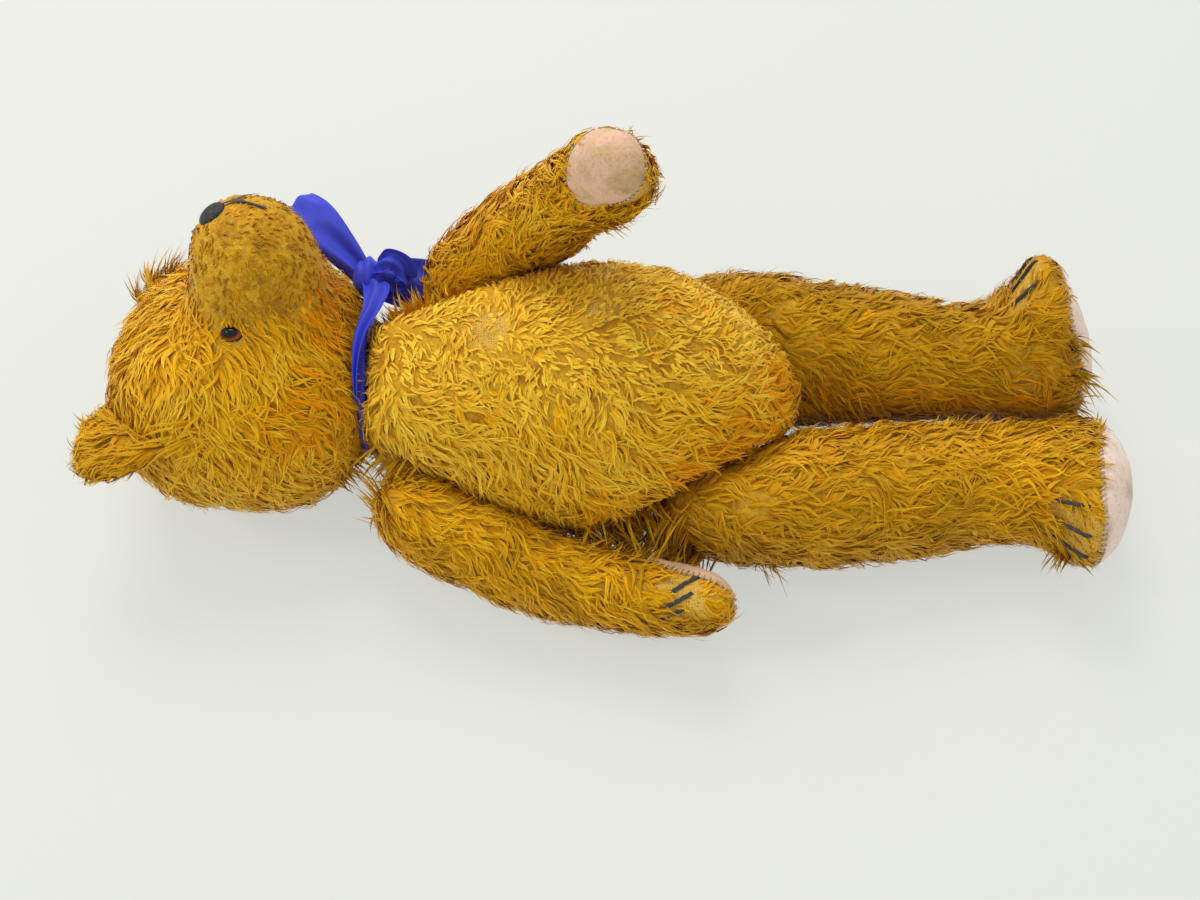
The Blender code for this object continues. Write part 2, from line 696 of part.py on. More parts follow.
def ear(word, side, parent, tree, settle, tip):
    """A cupped half-round ear whose base follows the head."""
    angle = math.radians(EAR_ANGLE)
    radial = tip @ Vector((-math.cos(angle), side * math.sin(angle), 0))
    along = tip @ Vector((math.sin(angle), side * math.cos(angle), 0))
    forward = tip @ Vector((0, 0, 1))
    heart = settle(Vector((0, 0, EAR_FORWARD)))
    columns, rows = 8, 3
    mesh = bmesh.new()

    def spot(column, row, face):
        across = -1 + 2 * column / columns
        start = heart + along * (across * EAR_WIDTH / 2)
        base, _, _, _ = tree.ray_cast(start + radial * 150, -radial)
        rim = EAR_HEIGHT * math.sqrt(max(0.03, 1 - across**2 * 0.97))
        share = row / rows
        cup = 9 * (1 - across**2) * share
        thin = EAR_THICKNESS / 2 * (1 - 0.55 * share**2) * (1 - 0.5 * across**2)
        lift = radial * (EAR_SEAM + rim * share)
        return base + lift + forward * (face * thin - cup)

    grids = {}
    for face in (-1, 1):
        grids[face] = [
            [mesh.verts.new(spot(c, r, face)) for c in range(columns + 1)] for r in range(rows + 1)
        ]
    for face, grid in grids.items():
        for r in range(rows):
            for c in range(columns):
                mesh.faces.new((grid[r][c], grid[r][c + 1], grid[r + 1][c + 1], grid[r + 1][c]))
    back, front = grids[-1], grids[1]
    rim = [back[0][c] for c in range(columns + 1)] + [back[r][columns] for r in range(1, rows + 1)]
    rim += [back[rows][c] for c in range(columns - 1, -1, -1)] + [back[r][0] for r in range(rows - 1, 0, -1)]
    mate = [front[0][c] for c in range(columns + 1)] + [front[r][columns] for r in range(1, rows + 1)]
    mate += [front[rows][c] for c in range(columns - 1, -1, -1)] + [front[r][0] for r in range(rows - 1, 0, -1)]
    for i in range(len(rim)):
        j = (i + 1) % len(rim)
        mesh.faces.new((rim[i], rim[j], mate[j], mate[i]))
    return place(f"{word}_ear", mesh, parent, "mohair")


def ribbon_strip(points, across, width, thickness=RIBBON_THICKNESS):
    """A closed strip of ribbon through points, its width lying along the across vectors."""
    rings = []
    for i, point in enumerate(points):
        ahead = (points[min(i + 1, len(points) - 1)] - points[max(i - 1, 0)]).normalized()
        over = across[i].normalized()
        over = (over - ahead * over.dot(ahead)).normalized()
        up = ahead.cross(over) * thickness / 2
        half = over * width[i] / 2
        rings.append([point + half + up, point - half + up, point - half - up, point + half - up])
    mesh = bmesh.new()
    grid = [[mesh.verts.new(p) for p in ring] for ring in rings]
    for one, two in zip(grid, grid[1:]):
        for i in range(4):
            j = (i + 1) % 4
            mesh.faces.new((one[i], one[j], two[j], two[i]))
    mesh.faces.new(grid[0])
    mesh.faces.new(grid[-1])
    return mesh


def round_neck(x, radius, angle):
    """A point about the neck's axis; the angle runs from straight up towards the bear's left."""
    a = math.radians(angle)
    return Vector((x, radius * math.sin(a), radius * math.cos(a)))


def smooth_path(knots, steps):
    """Points of a smooth curve through the knots."""
    rows = [(i, *k) for i, k in enumerate(knots)]
    count = (len(knots) - 1) * steps
    return [Vector(between(rows, i / steps)) for i in range(count + 1)]


def ribbon(parent):
    """The satin ribbon: a band in the neck's crease, a knot, two loops and two tails."""
    rings = []
    sides = 28
    for i in range(sides):
        angle = 360 * i / sides
        radius = 36.5
        rings.append(
            [round_neck(x, radius + r, angle) for x, r in ((-3.2, 0), (1.2, 0), (4.6, 8.5), (-6.5, 8.5))]
        )
    mesh = bmesh.new()
    grid = [[mesh.verts.new(p) for p in ring] for ring in rings]
    for i in range(sides):
        one, two = grid[i], grid[(i + 1) % sides]
        for k in range(4):
            m = (k + 1) % 4
            mesh.faces.new((one[k], one[m], two[m], two[k]))
    band = place("neck_ribbon", mesh, parent, "ribbon_satin")

    knot_at = round_neck(-5, 54, BOW_ANGLE)
    knot = bmesh.new()
    bmesh.ops.create_icosphere(knot, subdivisions=2, radius=1)
    bmesh.ops.scale(knot, vec=(8, 9, 10.5), verts=knot.verts)
    turn = Matrix.Rotation(math.radians(-BOW_ANGLE), 4, "X")
    bmesh.ops.transform(knot, matrix=Matrix.Translation(knot_at) @ turn, verts=knot.verts)
    boolean(band, cutter("knot", knot, parent), "UNION")

    along = Vector((1, 0, 0))
    pieces = {
        "upper_loop": (
            [(-7, 57, 54), (-17, 68, 55), (-30, 80, 56), (-43, 91, 60), (-32, 82, 66), (-18, 67, 66),
             (-8, 53, 62)],
            [9, 15, 21, 22, 21, 15, 9], (0.9, 0.45),
        ),
        "lower_loop": (
            [(-5, 57, 50), (3, 60, 45), (12, 64, 42), (22, 66, 43), (12, 63, 49), (2, 58, 53),
             (-4, 52, 55)],
            [8, 13, 16, 17, 16, 13, 8], (0.1, 1.0),
        ),
        "upper_tail": ([(-4, 53, 50), (-1, 54, 38), (1, 54, 24), (-1, 53, 10)], [8, 12, 13, 12], (1, 0.2)),
        "lower_tail": ([(-4, 54, 51), (3, 58, 44), (11, 60, 40), (19, 61, 38)], [8, 12, 14, 14], (0.3, 0.9)),
    }
    for name, (knots, widths, (lengthways, outwards)) in pieces.items():
        points = smooth_path([round_neck(*k) for k in knots], 3)
        across = [along * lengthways + Vector((0, p.y, p.z)).normalized() * outwards for p in points]
        widths = [w[0] for w in smooth_widths(widths, 3)]
        boolean(band, cutter(name, ribbon_strip(points, across, widths), parent), "UNION")
    return band


def smooth_widths(widths, steps):
    rows = [(i, w) for i, w in enumerate(widths)]
    return [between(rows, i / steps) for i in range((len(widths) - 1) * steps + 1)]


def build():
    for thing in list(bpy.data.objects):
        bpy.data.objects.remove(thing)
    root = empty("bear", None, Matrix.Identity(4))
    roll = Matrix.Rotation(math.radians(TORSO_ROLL), 4, "X")
    yaw = Matrix.Rotation(math.radians(TORSO_YAW), 4, "Z")
    torso_frame = Matrix.Translation((0, 0, TORSO_AXIS_HEIGHT)) @ yaw @ roll
    torso_empty = empty("torso_body", root, torso_frame)

    limbs = []
    for word, side, seat, angle in (
        ("left_arm", 1, LEFT_SHOULDER, LEFT_ARM_RAISE),
        ("right_arm", -1, RIGHT_SHOULDER, RIGHT_ARM_RAISE),
        ("left_leg", 1, LEFT_HIP, LEFT_LEG_RAISE),
        ("right_leg", -1, RIGHT_HIP, RIGHT_LEG_RAISE),
    ):
        frame, outward = joint_frame(seat, side, angle)
        limbs.append((frame, outward, (word, side)))
    body = torso(torso_empty, limbs, table_plane(torso_frame))

    for frame, outward, (word, side) in limbs:
        joint = empty(f"{word}_joint", torso_empty, frame)
        table = table_plane(torso_frame @ frame)
        if word.endswith("arm"):
            turn = LEFT_PAW_TURN if side > 0 else RIGHT_PAW_TURN
            skin = arm(word.split("_")[0], side, joint, table, turn)
            disc, name = SHOULDER_DISC, word.replace("arm", "shoulder")
        else:
            turn, lean = (
                (LEFT_FOOT_TURN, LEFT_LEG_LEAN) if side > 0 else (RIGHT_FOOT_TURN, RIGHT_LEG_LEAN)
            )
            skin = leg(word.split("_")[0], side, joint, table, turn, lean)
            disc, name = HIP_DISC, word.replace("leg", "hip")
        flip = Matrix.Rotation(math.pi if side > 0 else 0, 4, "X")
        into_limb = flip
        into_torso = frame @ flip @ Matrix.Rotation(math.pi, 4, "X")
        hollow_for_joint(skin, name, into_limb, disc, 5)
        hollow_for_joint(body, name, into_torso, disc, 8)
        hardware(name, joint, torso_empty, into_limb, into_torso, disc)

    neck_frame = Matrix.Rotation(math.radians(-HEAD_TURN), 4, "X")
    neck = empty("head_joint", torso_empty, neck_frame)
    skull = head(neck)
    into_head = Matrix.Rotation(math.radians(-90), 4, "Y")
    into_body = Matrix.Translation((GAP, 0, 0)) @ Matrix.Rotation(math.radians(90), 4, "Y")
    hollow_for_joint(skull, "neck", into_head, NECK_DISC, 5)
    hollow_for_joint(body, "neck", into_body, NECK_DISC, 8)
    hardware("neck", neck, torso_empty, into_head, into_body, NECK_DISC)
    unrolled = Matrix.Rotation(math.radians(-TORSO_ROLL), 4, "X")
    ribbon_empty = empty("ribbon_frame", torso_empty, unrolled)
    ribbon(ribbon_empty)
    centre_on_origin(root)


def centre_on_origin(root):
    """Moves the whole bear so that the middle of its footprint lies on the origin."""
    bpy.context.view_layer.update()
    shown = bpy.context.evaluated_depsgraph_get()
    corners = []
    for thing in bpy.data.objects:
        if thing.type == "MESH" and not thing.hide_render:
            mesh = thing.evaluated_get(shown).to_mesh()
            corners += [thing.matrix_world @ v.co for v in mesh.vertices]
            thing.evaluated_get(shown).to_mesh_clear()
    low = [min(c[k] for c in corners) for k in range(3)]
    high = [max(c[k] for c in corners) for k in range(3)]
    root.location = (-(low[0] + high[0]) / 2, -(low[1] + high[1]) / 2, -low[2])
    bpy.context.view_layer.update()


build()
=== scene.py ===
import json
import math

import bmesh
import bpy
import numpy as np
from mathutils import Matrix, Vector, noise
from mathutils.bvhtree import BVHTree


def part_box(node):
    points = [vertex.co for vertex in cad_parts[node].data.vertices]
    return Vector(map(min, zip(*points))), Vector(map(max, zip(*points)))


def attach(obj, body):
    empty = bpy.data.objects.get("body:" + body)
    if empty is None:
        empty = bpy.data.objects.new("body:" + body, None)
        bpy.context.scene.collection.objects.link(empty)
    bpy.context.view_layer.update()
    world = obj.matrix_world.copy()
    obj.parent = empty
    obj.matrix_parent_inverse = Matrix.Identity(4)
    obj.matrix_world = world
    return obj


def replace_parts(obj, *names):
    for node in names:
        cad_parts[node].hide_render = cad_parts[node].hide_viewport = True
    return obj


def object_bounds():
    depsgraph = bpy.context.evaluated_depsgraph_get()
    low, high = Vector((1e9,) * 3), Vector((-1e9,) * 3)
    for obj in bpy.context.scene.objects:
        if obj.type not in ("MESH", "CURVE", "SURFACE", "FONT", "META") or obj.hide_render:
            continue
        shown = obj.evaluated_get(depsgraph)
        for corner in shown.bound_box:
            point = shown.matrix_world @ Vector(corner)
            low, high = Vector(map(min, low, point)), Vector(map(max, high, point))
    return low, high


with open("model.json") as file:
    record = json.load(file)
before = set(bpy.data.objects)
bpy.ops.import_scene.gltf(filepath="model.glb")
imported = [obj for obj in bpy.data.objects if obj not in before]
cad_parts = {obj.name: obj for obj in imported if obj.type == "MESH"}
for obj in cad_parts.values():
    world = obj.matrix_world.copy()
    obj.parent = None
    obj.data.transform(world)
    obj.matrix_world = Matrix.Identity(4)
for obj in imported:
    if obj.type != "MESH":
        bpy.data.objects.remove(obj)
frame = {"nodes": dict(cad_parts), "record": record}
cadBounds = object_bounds()
nodes = frame["nodes"]
joints = {j["name"]: j for j in frame["record"]["behaviour"]["joints"]}
mm = 0.001
aboveFloor = 0.3 * mm  # nothing lies nearer the floor than this
print("frame loaded:", len(nodes), "nodes")


def toLinear(hexText):  # an sRGB hex colour as linear light
    parts = [int(hexText[i : i + 2], 16) / 255 for i in (1, 3, 5)]
    return tuple(c / 12.92 if c <= 0.04045 else ((c + 0.055) / 1.055) ** 2.4 for c in parts) + (1.0,)


def newMaterial(name, roughness, ior=1.5, sockets=None):
    material = bpy.data.materials.new(name)
    material.use_nodes = True
    shader = material.node_tree.nodes["Principled BSDF"]
    for socket, value in {"Roughness": roughness, "IOR": ior, **(sockets or {})}.items():
        shader.inputs[socket].default_value = value
    return material, shader


def addNode(material, kind, links=None, values=None, stops=None, into=None, **settings):
    # one node: its settings, socket values and ramp stops, the links into it and where its result goes
    tree = material.node_tree
    node = tree.nodes.new(kind)
    for name, value in settings.items():
        setattr(node, name, value)
    for socket, value in (values or {}).items():
        node.inputs[socket].default_value = value
    for i, (at, colour) in enumerate(stops or []):
        elements = node.color_ramp.elements
        stop = elements[i] if i < len(elements) else elements.new(at)
        stop.position, stop.color = at, toLinear(colour)
    for socket, source in (links or {}).items():
        tree.links.new(source, node.inputs[socket])
    for output, target in (into or {}).items():
        tree.links.new(node.outputs[output], target)
    return node


def newPiece(name, mesh, body, material=None):
    piece = bpy.data.objects.new(name, mesh)
    bpy.context.scene.collection.objects.link(piece)
    if material:
        mesh.materials.clear()
        mesh.materials.append(material)
    mesh.shade_smooth()
    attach(piece, body)
    return piece


def newMesh(name, points, faces):
    mesh = bpy.data.meshes.new(name)
    mesh.from_pydata([tuple(p) for p in points], [], [tuple(f) for f in faces])
    mesh.validate()
    return mesh


def middle(node):
    low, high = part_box(node)
    return (Vector(low) + Vector(high)) / 2


def applied(piece):  # its modifiers become its mesh
    mesh = bpy.data.meshes.new_from_object(piece.evaluated_get(bpy.context.evaluated_depsgraph_get()))
    old = piece.data
    piece.modifiers.clear()
    piece.data = mesh
    bpy.data.meshes.remove(old)
    return piece


def offTheFloor(mesh):
    for point in mesh.vertices:
        point.co.z = max(point.co.z, aboveFloor)


def thickened(piece, thick, offset):  # a sheet given its thickness
    thicken = piece.modifiers.new("thicken", "SOLIDIFY")
    thicken.thickness, thicken.offset = thick, offset
    applied(piece)
    piece.data.shade_smooth()


def smoothstep(low, high, x):
    t = np.clip((np.asarray(x, float) - low) / (high - low), 0, 1)
    return t * t * (3 - 2 * t)


def unit(v):
    return v / np.maximum(np.linalg.norm(v, axis=-1, keepdims=True), 1e-9)


def fieldNoise(points, size, seed=0.0):  # smooth noise, about -1 to 1, at each point
    return np.array([noise.noise(Vector(p) / size + Vector((seed, seed * 2.3, -seed))) for p in points])


# Mohair pile: long lustrous goat hair dyed gold, woven as plush. To the eye: glossy gold locks with fine
# streaks along them. Each blade is painted warmer and darker toward its root as shade between the locks.
# The map's width is the blade's tone and, with up to four streaks to a blade, its hairs; the map's height
# runs from root to tip.
tones = {
    "grime": (0.04, "#a6883e"), "umber": (0.16, "#c08c1a"), "olive": (0.30, "#cea41e"),
    "tan": (0.42, "#e0ae28"), "gold": (0.56, "#fac820"), "bright": (0.70, "#ffd63c"),
    "straw": (0.84, "#ffe24e"), "orange": (0.97, "#fcb416"),
}
pileMaterial, shader = newMaterial("mohairPileDyedGold", 0.46, 1.54, {
    "Specular IOR Level": 0.42, "Specular Tint": toLinear("#ffb218"), "Sheen Weight": 0.06,
    "Sheen Roughness": 0.45, "Sheen Tint": toLinear("#ffc850"),
})
lockMap = addNode(pileMaterial, "ShaderNodeUVMap", uv_map="OFBake")
lockPart = addNode(pileMaterial, "ShaderNodeSeparateXYZ", {0: lockMap.outputs[0]})
toneRamp = addNode(pileMaterial, "ShaderNodeValToRGB", {0: lockPart.outputs[0]}, stops=list(tones.values()))
# painted shade: blades darken and warm toward the root, standing in for the shade deep between the locks
rootShadeRamp = addNode(
    pileMaterial, "ShaderNodeValToRGB", {0: lockPart.outputs[1]},
    stops=[(0.0, "#f0cf94"), (0.35, "#faf0d8"), (0.8, "#ffffff")],
)
hairs = addNode(
    pileMaterial, "ShaderNodeVectorMath", {0: lockMap.outputs[0]}, {1: (150, 1.8, 1)},
    operation="MULTIPLY",
)
hairNoise = addNode(
    pileMaterial, "ShaderNodeTexNoise", {0: hairs.outputs[0]}, {"Scale": 1.0, "Detail": 2.0},
    noise_dimensions="2D",
)
hairRamp = addNode(
    pileMaterial, "ShaderNodeValToRGB", {0: hairNoise.outputs[0]},
    stops=[(0.34, "#d8b878"), (0.6, "#ffffff")],
)
rooted = addNode(
    pileMaterial, "ShaderNodeMix", {6: toneRamp.outputs[0], 7: rootShadeRamp.outputs[0]}, {0: 1.0},
    data_type="RGBA", blend_type="MULTIPLY",
)
addNode(
    pileMaterial, "ShaderNodeMix", {6: rooted.outputs[2], 7: hairRamp.outputs[0]}, {0: 0.8},
    into={2: shader.inputs["Base Color"]}, data_type="RGBA", blend_type="MULTIPLY",
)

# Cotton plush backing, plain woven. To the eye: olive yellow cloth with rows of fine dark dots where the
# pile has worn off, and a felted frizz of broken hair elsewhere. Threads stand 0.7 mm apart; drawn at
# 1.25 mm so that they show.
backing = {"thread": 1.25 * mm, "frizz": 2.4 * mm, "dirt": 22 * mm}
backingMaterial, shader = newMaterial("cottonPlushBackingWoven", 0.85, 1.47, {
    "Specular IOR Level": 0.25, "Sheen Weight": 0.15, "Sheen Tint": toLinear("#ffd070"),
})
place = addNode(backingMaterial, "ShaderNodeTexCoord").outputs["Object"]
dots = addNode(
    backingMaterial, "ShaderNodeTexVoronoi", {0: place},
    {"Scale": 1 / backing["thread"], "Randomness": 0.5},
)
dotRamp = addNode(
    backingMaterial, "ShaderNodeValToRGB", {0: dots.outputs["Distance"]},
    stops=[(0.14, "#8a6620"), (0.42, "#d8ae4a")],
)
frizz = addNode(
    backingMaterial, "ShaderNodeTexNoise", {0: place},
    {"Scale": 1 / backing["frizz"], "Detail": 4.0, "Roughness": 0.65, "Distortion": 1.4},
)
frizzRamp = addNode(
    backingMaterial, "ShaderNodeValToRGB", {0: frizz.outputs[0]},
    stops=[(0.34, "#b4841a"), (0.5, "#cc9a20"), (0.66, "#deb02c")],
)
worn = addNode(backingMaterial, "ShaderNodeAttribute", attribute_name="worn")
clothColour = addNode(
    backingMaterial, "ShaderNodeMix",
    {0: worn.outputs["Fac"], 6: frizzRamp.outputs[0], 7: dotRamp.outputs[0]}, data_type="RGBA",
)
dirt = addNode(
    backingMaterial, "ShaderNodeTexNoise", {0: place}, {"Scale": 1 / backing["dirt"], "Detail": 4.0},
)
dirtRamp = addNode(
    backingMaterial, "ShaderNodeValToRGB", {0: dirt.outputs[0]},
    stops=[(0.45, "#ffffff"), (0.75, "#c8ac78")],
)
addNode(
    backingMaterial, "ShaderNodeMix", {6: clothColour.outputs[2], 7: dirtRamp.outputs[0]}, {0: 1.0},
    into={2: shader.inputs["Base Color"]}, data_type="RGBA", blend_type="MULTIPLY",
)
weave = addNode(
    backingMaterial, "ShaderNodeMix",
    {0: worn.outputs["Fac"], 2: frizz.outputs[0], 3: dots.outputs["Distance"]}, data_type="FLOAT",
)
addNode(
    backingMaterial, "ShaderNodeBump", {"Height": weave.outputs[0]},
    {"Strength": 0.4, "Distance": 0.4 * mm},
    into={0: shader.inputs["Normal"]},
)


# Wool felt, pressed. To the eye: soft and matt, pinkish beige, rubbed olive grey and spotted by
# handling, with a fuzz of fibre ends 1 to 2 mm long.
felt = {"patches": 17 * mm, "fibres": 1.3 * mm, "fuzz": 0.4 * mm}


def feltMaterialOf(name, clean, rubbed, dirty):
    material, shader = newMaterial(name, 0.93, 1.45, {
        "Specular IOR Level": 0.2, "Sheen Weight": 0.3, "Sheen Roughness": 0.5,
    })
    place = addNode(material, "ShaderNodeTexCoord").outputs["Object"]
    patches = addNode(
        material, "ShaderNodeTexNoise", {0: place},
        {"Scale": 1 / felt["patches"], "Detail": 6.0, "Roughness": 0.55},
    )
    colours = addNode(
        material, "ShaderNodeValToRGB", {0: patches.outputs[0]},
        stops=[(0.3, dirty), (0.44, rubbed), (0.58, clean)],
    )
    fibres = addNode(
        material, "ShaderNodeTexNoise", {0: place}, {"Scale": 1 / felt["fibres"], "Detail": 3.0},
    )
    fibreRamp = addNode(
        material, "ShaderNodeValToRGB", {0: fibres.outputs[0]},
        stops=[(0.3, "#ebe4dc"), (0.5, "#ffffff")],
    )
    addNode(
        material, "ShaderNodeMix", {6: colours.outputs[0], 7: fibreRamp.outputs[0]}, {0: 1.0},
        into={2: shader.inputs["Base Color"]}, data_type="RGBA", blend_type="MULTIPLY",
    )
    addNode(
        material, "ShaderNodeBump", {"Height": fibres.outputs[0]},
        {"Strength": 0.4, "Distance": felt["fuzz"]},
        into={0: shader.inputs["Normal"]},
    )
    return material


pawFelt = feltMaterialOf("woolFeltPressedPaw", "#e2ba9c", "#ceac7c", "#a88662")
footFelt = feltMaterialOf("woolFeltPressedFoot", "#f2dccc", "#ead0ba", "#c0a896")


# Cotton and linen thread, spun. To the eye: dull, with a fine slanting twist and a colour that fades
# in places.
yarn = {"twist": 0.9 * mm, "fade": 4 * mm, "relief": 0.15 * mm}
waveTurns = 2 * math.pi / 20  # Scale of a wave texture that gives one band a metre


def threadMaterialOf(name, dark, pale, roughness):
    material, shader = newMaterial(name, roughness, 1.47, {"Specular IOR Level": 0.3, "Sheen Weight": 0.15})
    place = addNode(material, "ShaderNodeTexCoord").outputs["Object"]
    fade = addNode(
        material, "ShaderNodeTexNoise", {0: place}, {"Scale": 1 / yarn["fade"], "Detail": 4.0},
    )
    addNode(
        material, "ShaderNodeValToRGB", {0: fade.outputs[0]}, stops=[(0.32, dark), (0.68, pale)],
        into={0: shader.inputs["Base Color"]},
    )
    twist = addNode(
        material, "ShaderNodeTexWave", {0: place},
        {"Scale": waveTurns / yarn["twist"], "Distortion": 2.0}, bands_direction="DIAGONAL",
    )
    addNode(
        material, "ShaderNodeBump", {"Height": twist.outputs[1]},
        {"Strength": 0.3, "Distance": yarn["relief"]},
        into={0: shader.inputs["Normal"]},
    )
    return material


threadMaterial = threadMaterialOf("cottonThreadSpunSlate", "#26282a", "#4c4e4c", 0.7)
seamMaterial = threadMaterialOf("linenSeamThreadTan", "#b08a50", "#dcc498", 0.75)

# Blown glass eye, enamelled behind: a black pupil in an amber rim under clear gloss.
eyeMaterial, shader = newMaterial("eyeGlassBlownAmber", 0.05, 1.52, {
    "Specular IOR Level": 0.18, "Coat Weight": 0.3, "Coat Roughness": 0.02, "Coat IOR": 1.4,
})
eyeMap = addNode(eyeMaterial, "ShaderNodeUVMap", uv_map="OFBake")
eyePart = addNode(eyeMaterial, "ShaderNodeSeparateXYZ", {0: eyeMap.outputs[0]})
addNode(
    eyeMaterial, "ShaderNodeValToRGB", {0: eyePart.outputs[1]},
    stops=[
        (0.0, "#030202"), (0.66, "#050303"), (0.76, "#74340a"), (0.9, "#a8540e"), (0.97, "#1c0e06"),
    ],
    into={0: shader.inputs["Base Color"]},
)

# Satin ribbon: filament yarn in a satin weave, dyed royal blue. To the eye: a smooth silky sheen in long
# soft highlights. Its ribs, 0.4 mm apart across the width, are drawn at 0.8 mm so that they show.
satin = {"rib": 0.8 * mm, "relief": 0.08 * mm, "light": "#4650d2", "deep": "#3c44c4"}
satinMaterial, shader = newMaterial("satinRibbonWovenBlue", 0.45, 1.52, {
    "Specular IOR Level": 0.35, "Specular Tint": toLinear("#a8b4ff"), "Sheen Weight": 0.35,
    "Sheen Roughness": 0.35, "Sheen Tint": toLinear("#7080ff"),
})
satinMap = addNode(satinMaterial, "ShaderNodeUVMap", uv_map="lengthways")
ribs = addNode(
    satinMaterial, "ShaderNodeTexWave", {0: satinMap.outputs[0]},
    {"Scale": waveTurns / satin["rib"], "Distortion": 0.5}, bands_direction="Y",
)
addNode(
    satinMaterial, "ShaderNodeValToRGB", {0: ribs.outputs[1]},
    stops=[(0.2, satin["deep"]), (0.8, satin["light"])],
    into={0: shader.inputs["Base Color"]},
)
addNode(
    satinMaterial, "ShaderNodeBump", {"Height": ribs.outputs[1]},
    {"Strength": 0.12, "Distance": satin["relief"]},
    into={0: shader.inputs["Normal"]},
)

# Pressed hardboard: brown wood fibre with fine flecks, 1 mm and longer.
boardMaterial, shader = newMaterial("hardboardPressedBrown", 0.8, 1.5)
place = addNode(boardMaterial, "ShaderNodeTexCoord").outputs["Object"]
flecks = addNode(
    boardMaterial, "ShaderNodeTexNoise", {0: place}, {"Scale": 1 / (1.2 * mm), "Detail": 5.0},
)
addNode(
    boardMaterial, "ShaderNodeValToRGB", {0: flecks.outputs[0]},
    stops=[(0.35, "#5a3c22"), (0.65, "#8e6a44")],
    into={0: shader.inputs["Base Color"]},
)

# Mild steel, stamped and drawn: dull grey metal with rust spots some 2.5 mm across.
steelMaterial, shader = newMaterial("mildSteelStampedDull", 0.42, sockets={"Metallic": 1.0})
place = addNode(steelMaterial, "ShaderNodeTexCoord").outputs["Object"]
rust = addNode(
    steelMaterial, "ShaderNodeTexNoise", {0: place}, {"Scale": 1 / (2.5 * mm), "Detail": 6.0},
)
addNode(
    steelMaterial, "ShaderNodeValToRGB", {0: rust.outputs[0]},
    stops=[(0.5, "#a8a49c"), (0.68, "#7a5a3c")],
    into={0: shader.inputs["Base Color"]},
)

for name, node in nodes.items():
    if name.endswith(("_disc", "_washer", "_pin")):
        node.data.materials.clear()
        node.data.materials.append(boardMaterial if name.endswith("_disc") else steelMaterial)
print("materials made")


# The stuffed skins: woven cloth drawn tight over the stuffing, a little under the pile.
# under is how deep the cloth lies and net how finely it is drawn, both in mm; eased is how often it is
# smoothed, and fill how hard it is stuffed
skins = {
    "torso": {"body": "torso", "under": 1.6, "fill": 0.85, "net": 3.6, "eased": 9},
    "head": {"body": "head", "under": 1.4, "fill": 0.9, "net": 3.6, "eased": 9},
    "left_arm": {"body": "left_arm", "under": 1.2, "fill": 0.75, "net": 3.6, "eased": 9},
    "right_arm": {"body": "right_arm", "under": 1.2, "fill": 0.75, "net": 3.6, "eased": 9},
    "left_leg": {"body": "left_leg", "under": 1.2, "fill": 0.8, "net": 3.6, "eased": 9},
    "right_leg": {"body": "right_leg", "under": 1.2, "fill": 0.8, "net": 3.6, "eased": 9},
    "left_ear": {"body": "head", "under": 0.4, "fill": 0.3, "net": 1.6, "eased": 4},
    "right_ear": {"body": "head", "under": 0.4, "fill": 0.3, "net": 1.6, "eased": 4},
}


def camel(name):
    first, *rest = name.split("_")
    return first + "".join(word.capitalize() for word in rest)


surfaces = {}
for node, skin in skins.items():
    cloth = nodes[node].data.copy()
    piece = newPiece(camel(node) + "Cloth", cloth, skin["body"], backingMaterial)
    remesh = piece.modifiers.new("weave", "REMESH")
    remesh.mode, remesh.voxel_size = "VOXEL", skin["net"] * mm
    soften = piece.modifiers.new("soften", "SMOOTH")
    soften.factor, soften.iterations = 0.5, skin["eased"]
    under = piece.modifiers.new("under", "DISPLACE")
    under.strength, under.mid_level = -skin["under"] * mm, 0.0
    applied(piece)
    piece.data.shade_smooth()
    offTheFloor(piece.data)
    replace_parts(piece, node)
    surfaces[node] = piece
print("skins made")


def meshArrays(mesh):
    mesh.calc_loop_triangles()
    points, normals = np.empty(len(mesh.vertices) * 3), np.empty(len(mesh.vertices) * 3)
    corners = np.empty(len(mesh.loop_triangles) * 3, np.int32)
    mesh.vertices.foreach_get("co", points)
    mesh.vertices.foreach_get("normal", normals)
    mesh.loop_triangles.foreach_get("vertices", corners)
    return points.reshape(-1, 3), normals.reshape(-1, 3), corners.reshape(-1, 3)


arrays = {node: meshArrays(piece.data) for node, piece in surfaces.items()}
trees = {}
for node, (points, normals, corners) in arrays.items():
    trees[node] = BVHTree.FromPolygons(points.tolist(), corners.tolist())

rng = np.random.default_rng(1907)
noseAt = middle("nose")
neck = Vector(joints["neck_swivel"]["pos_m"])
neckAxis = Vector(joints["neck_swivel"]["axis"]).normalized()
skullAt = neck - neckAxis * 62 * mm  # the middle of the skull
muzzleDir = (noseAt - skullAt).normalized()


def beside(node, x, y, z):  # a place so many mm from a node's middle
    return middle(node) + Vector((x, y, z)) * mm


def cadPoints(node):
    points = np.empty(len(nodes[node].data.vertices) * 3)
    nodes[node].data.vertices.foreach_get("co", points)
    return np.unique(np.round(points.reshape(-1, 3), 6), axis=0)


def mainAxes(points):  # the middle and the axes of a cloud of points, longest first
    centre = points.mean(0)
    return centre, np.linalg.svd(points - centre, full_matrices=False)[2]


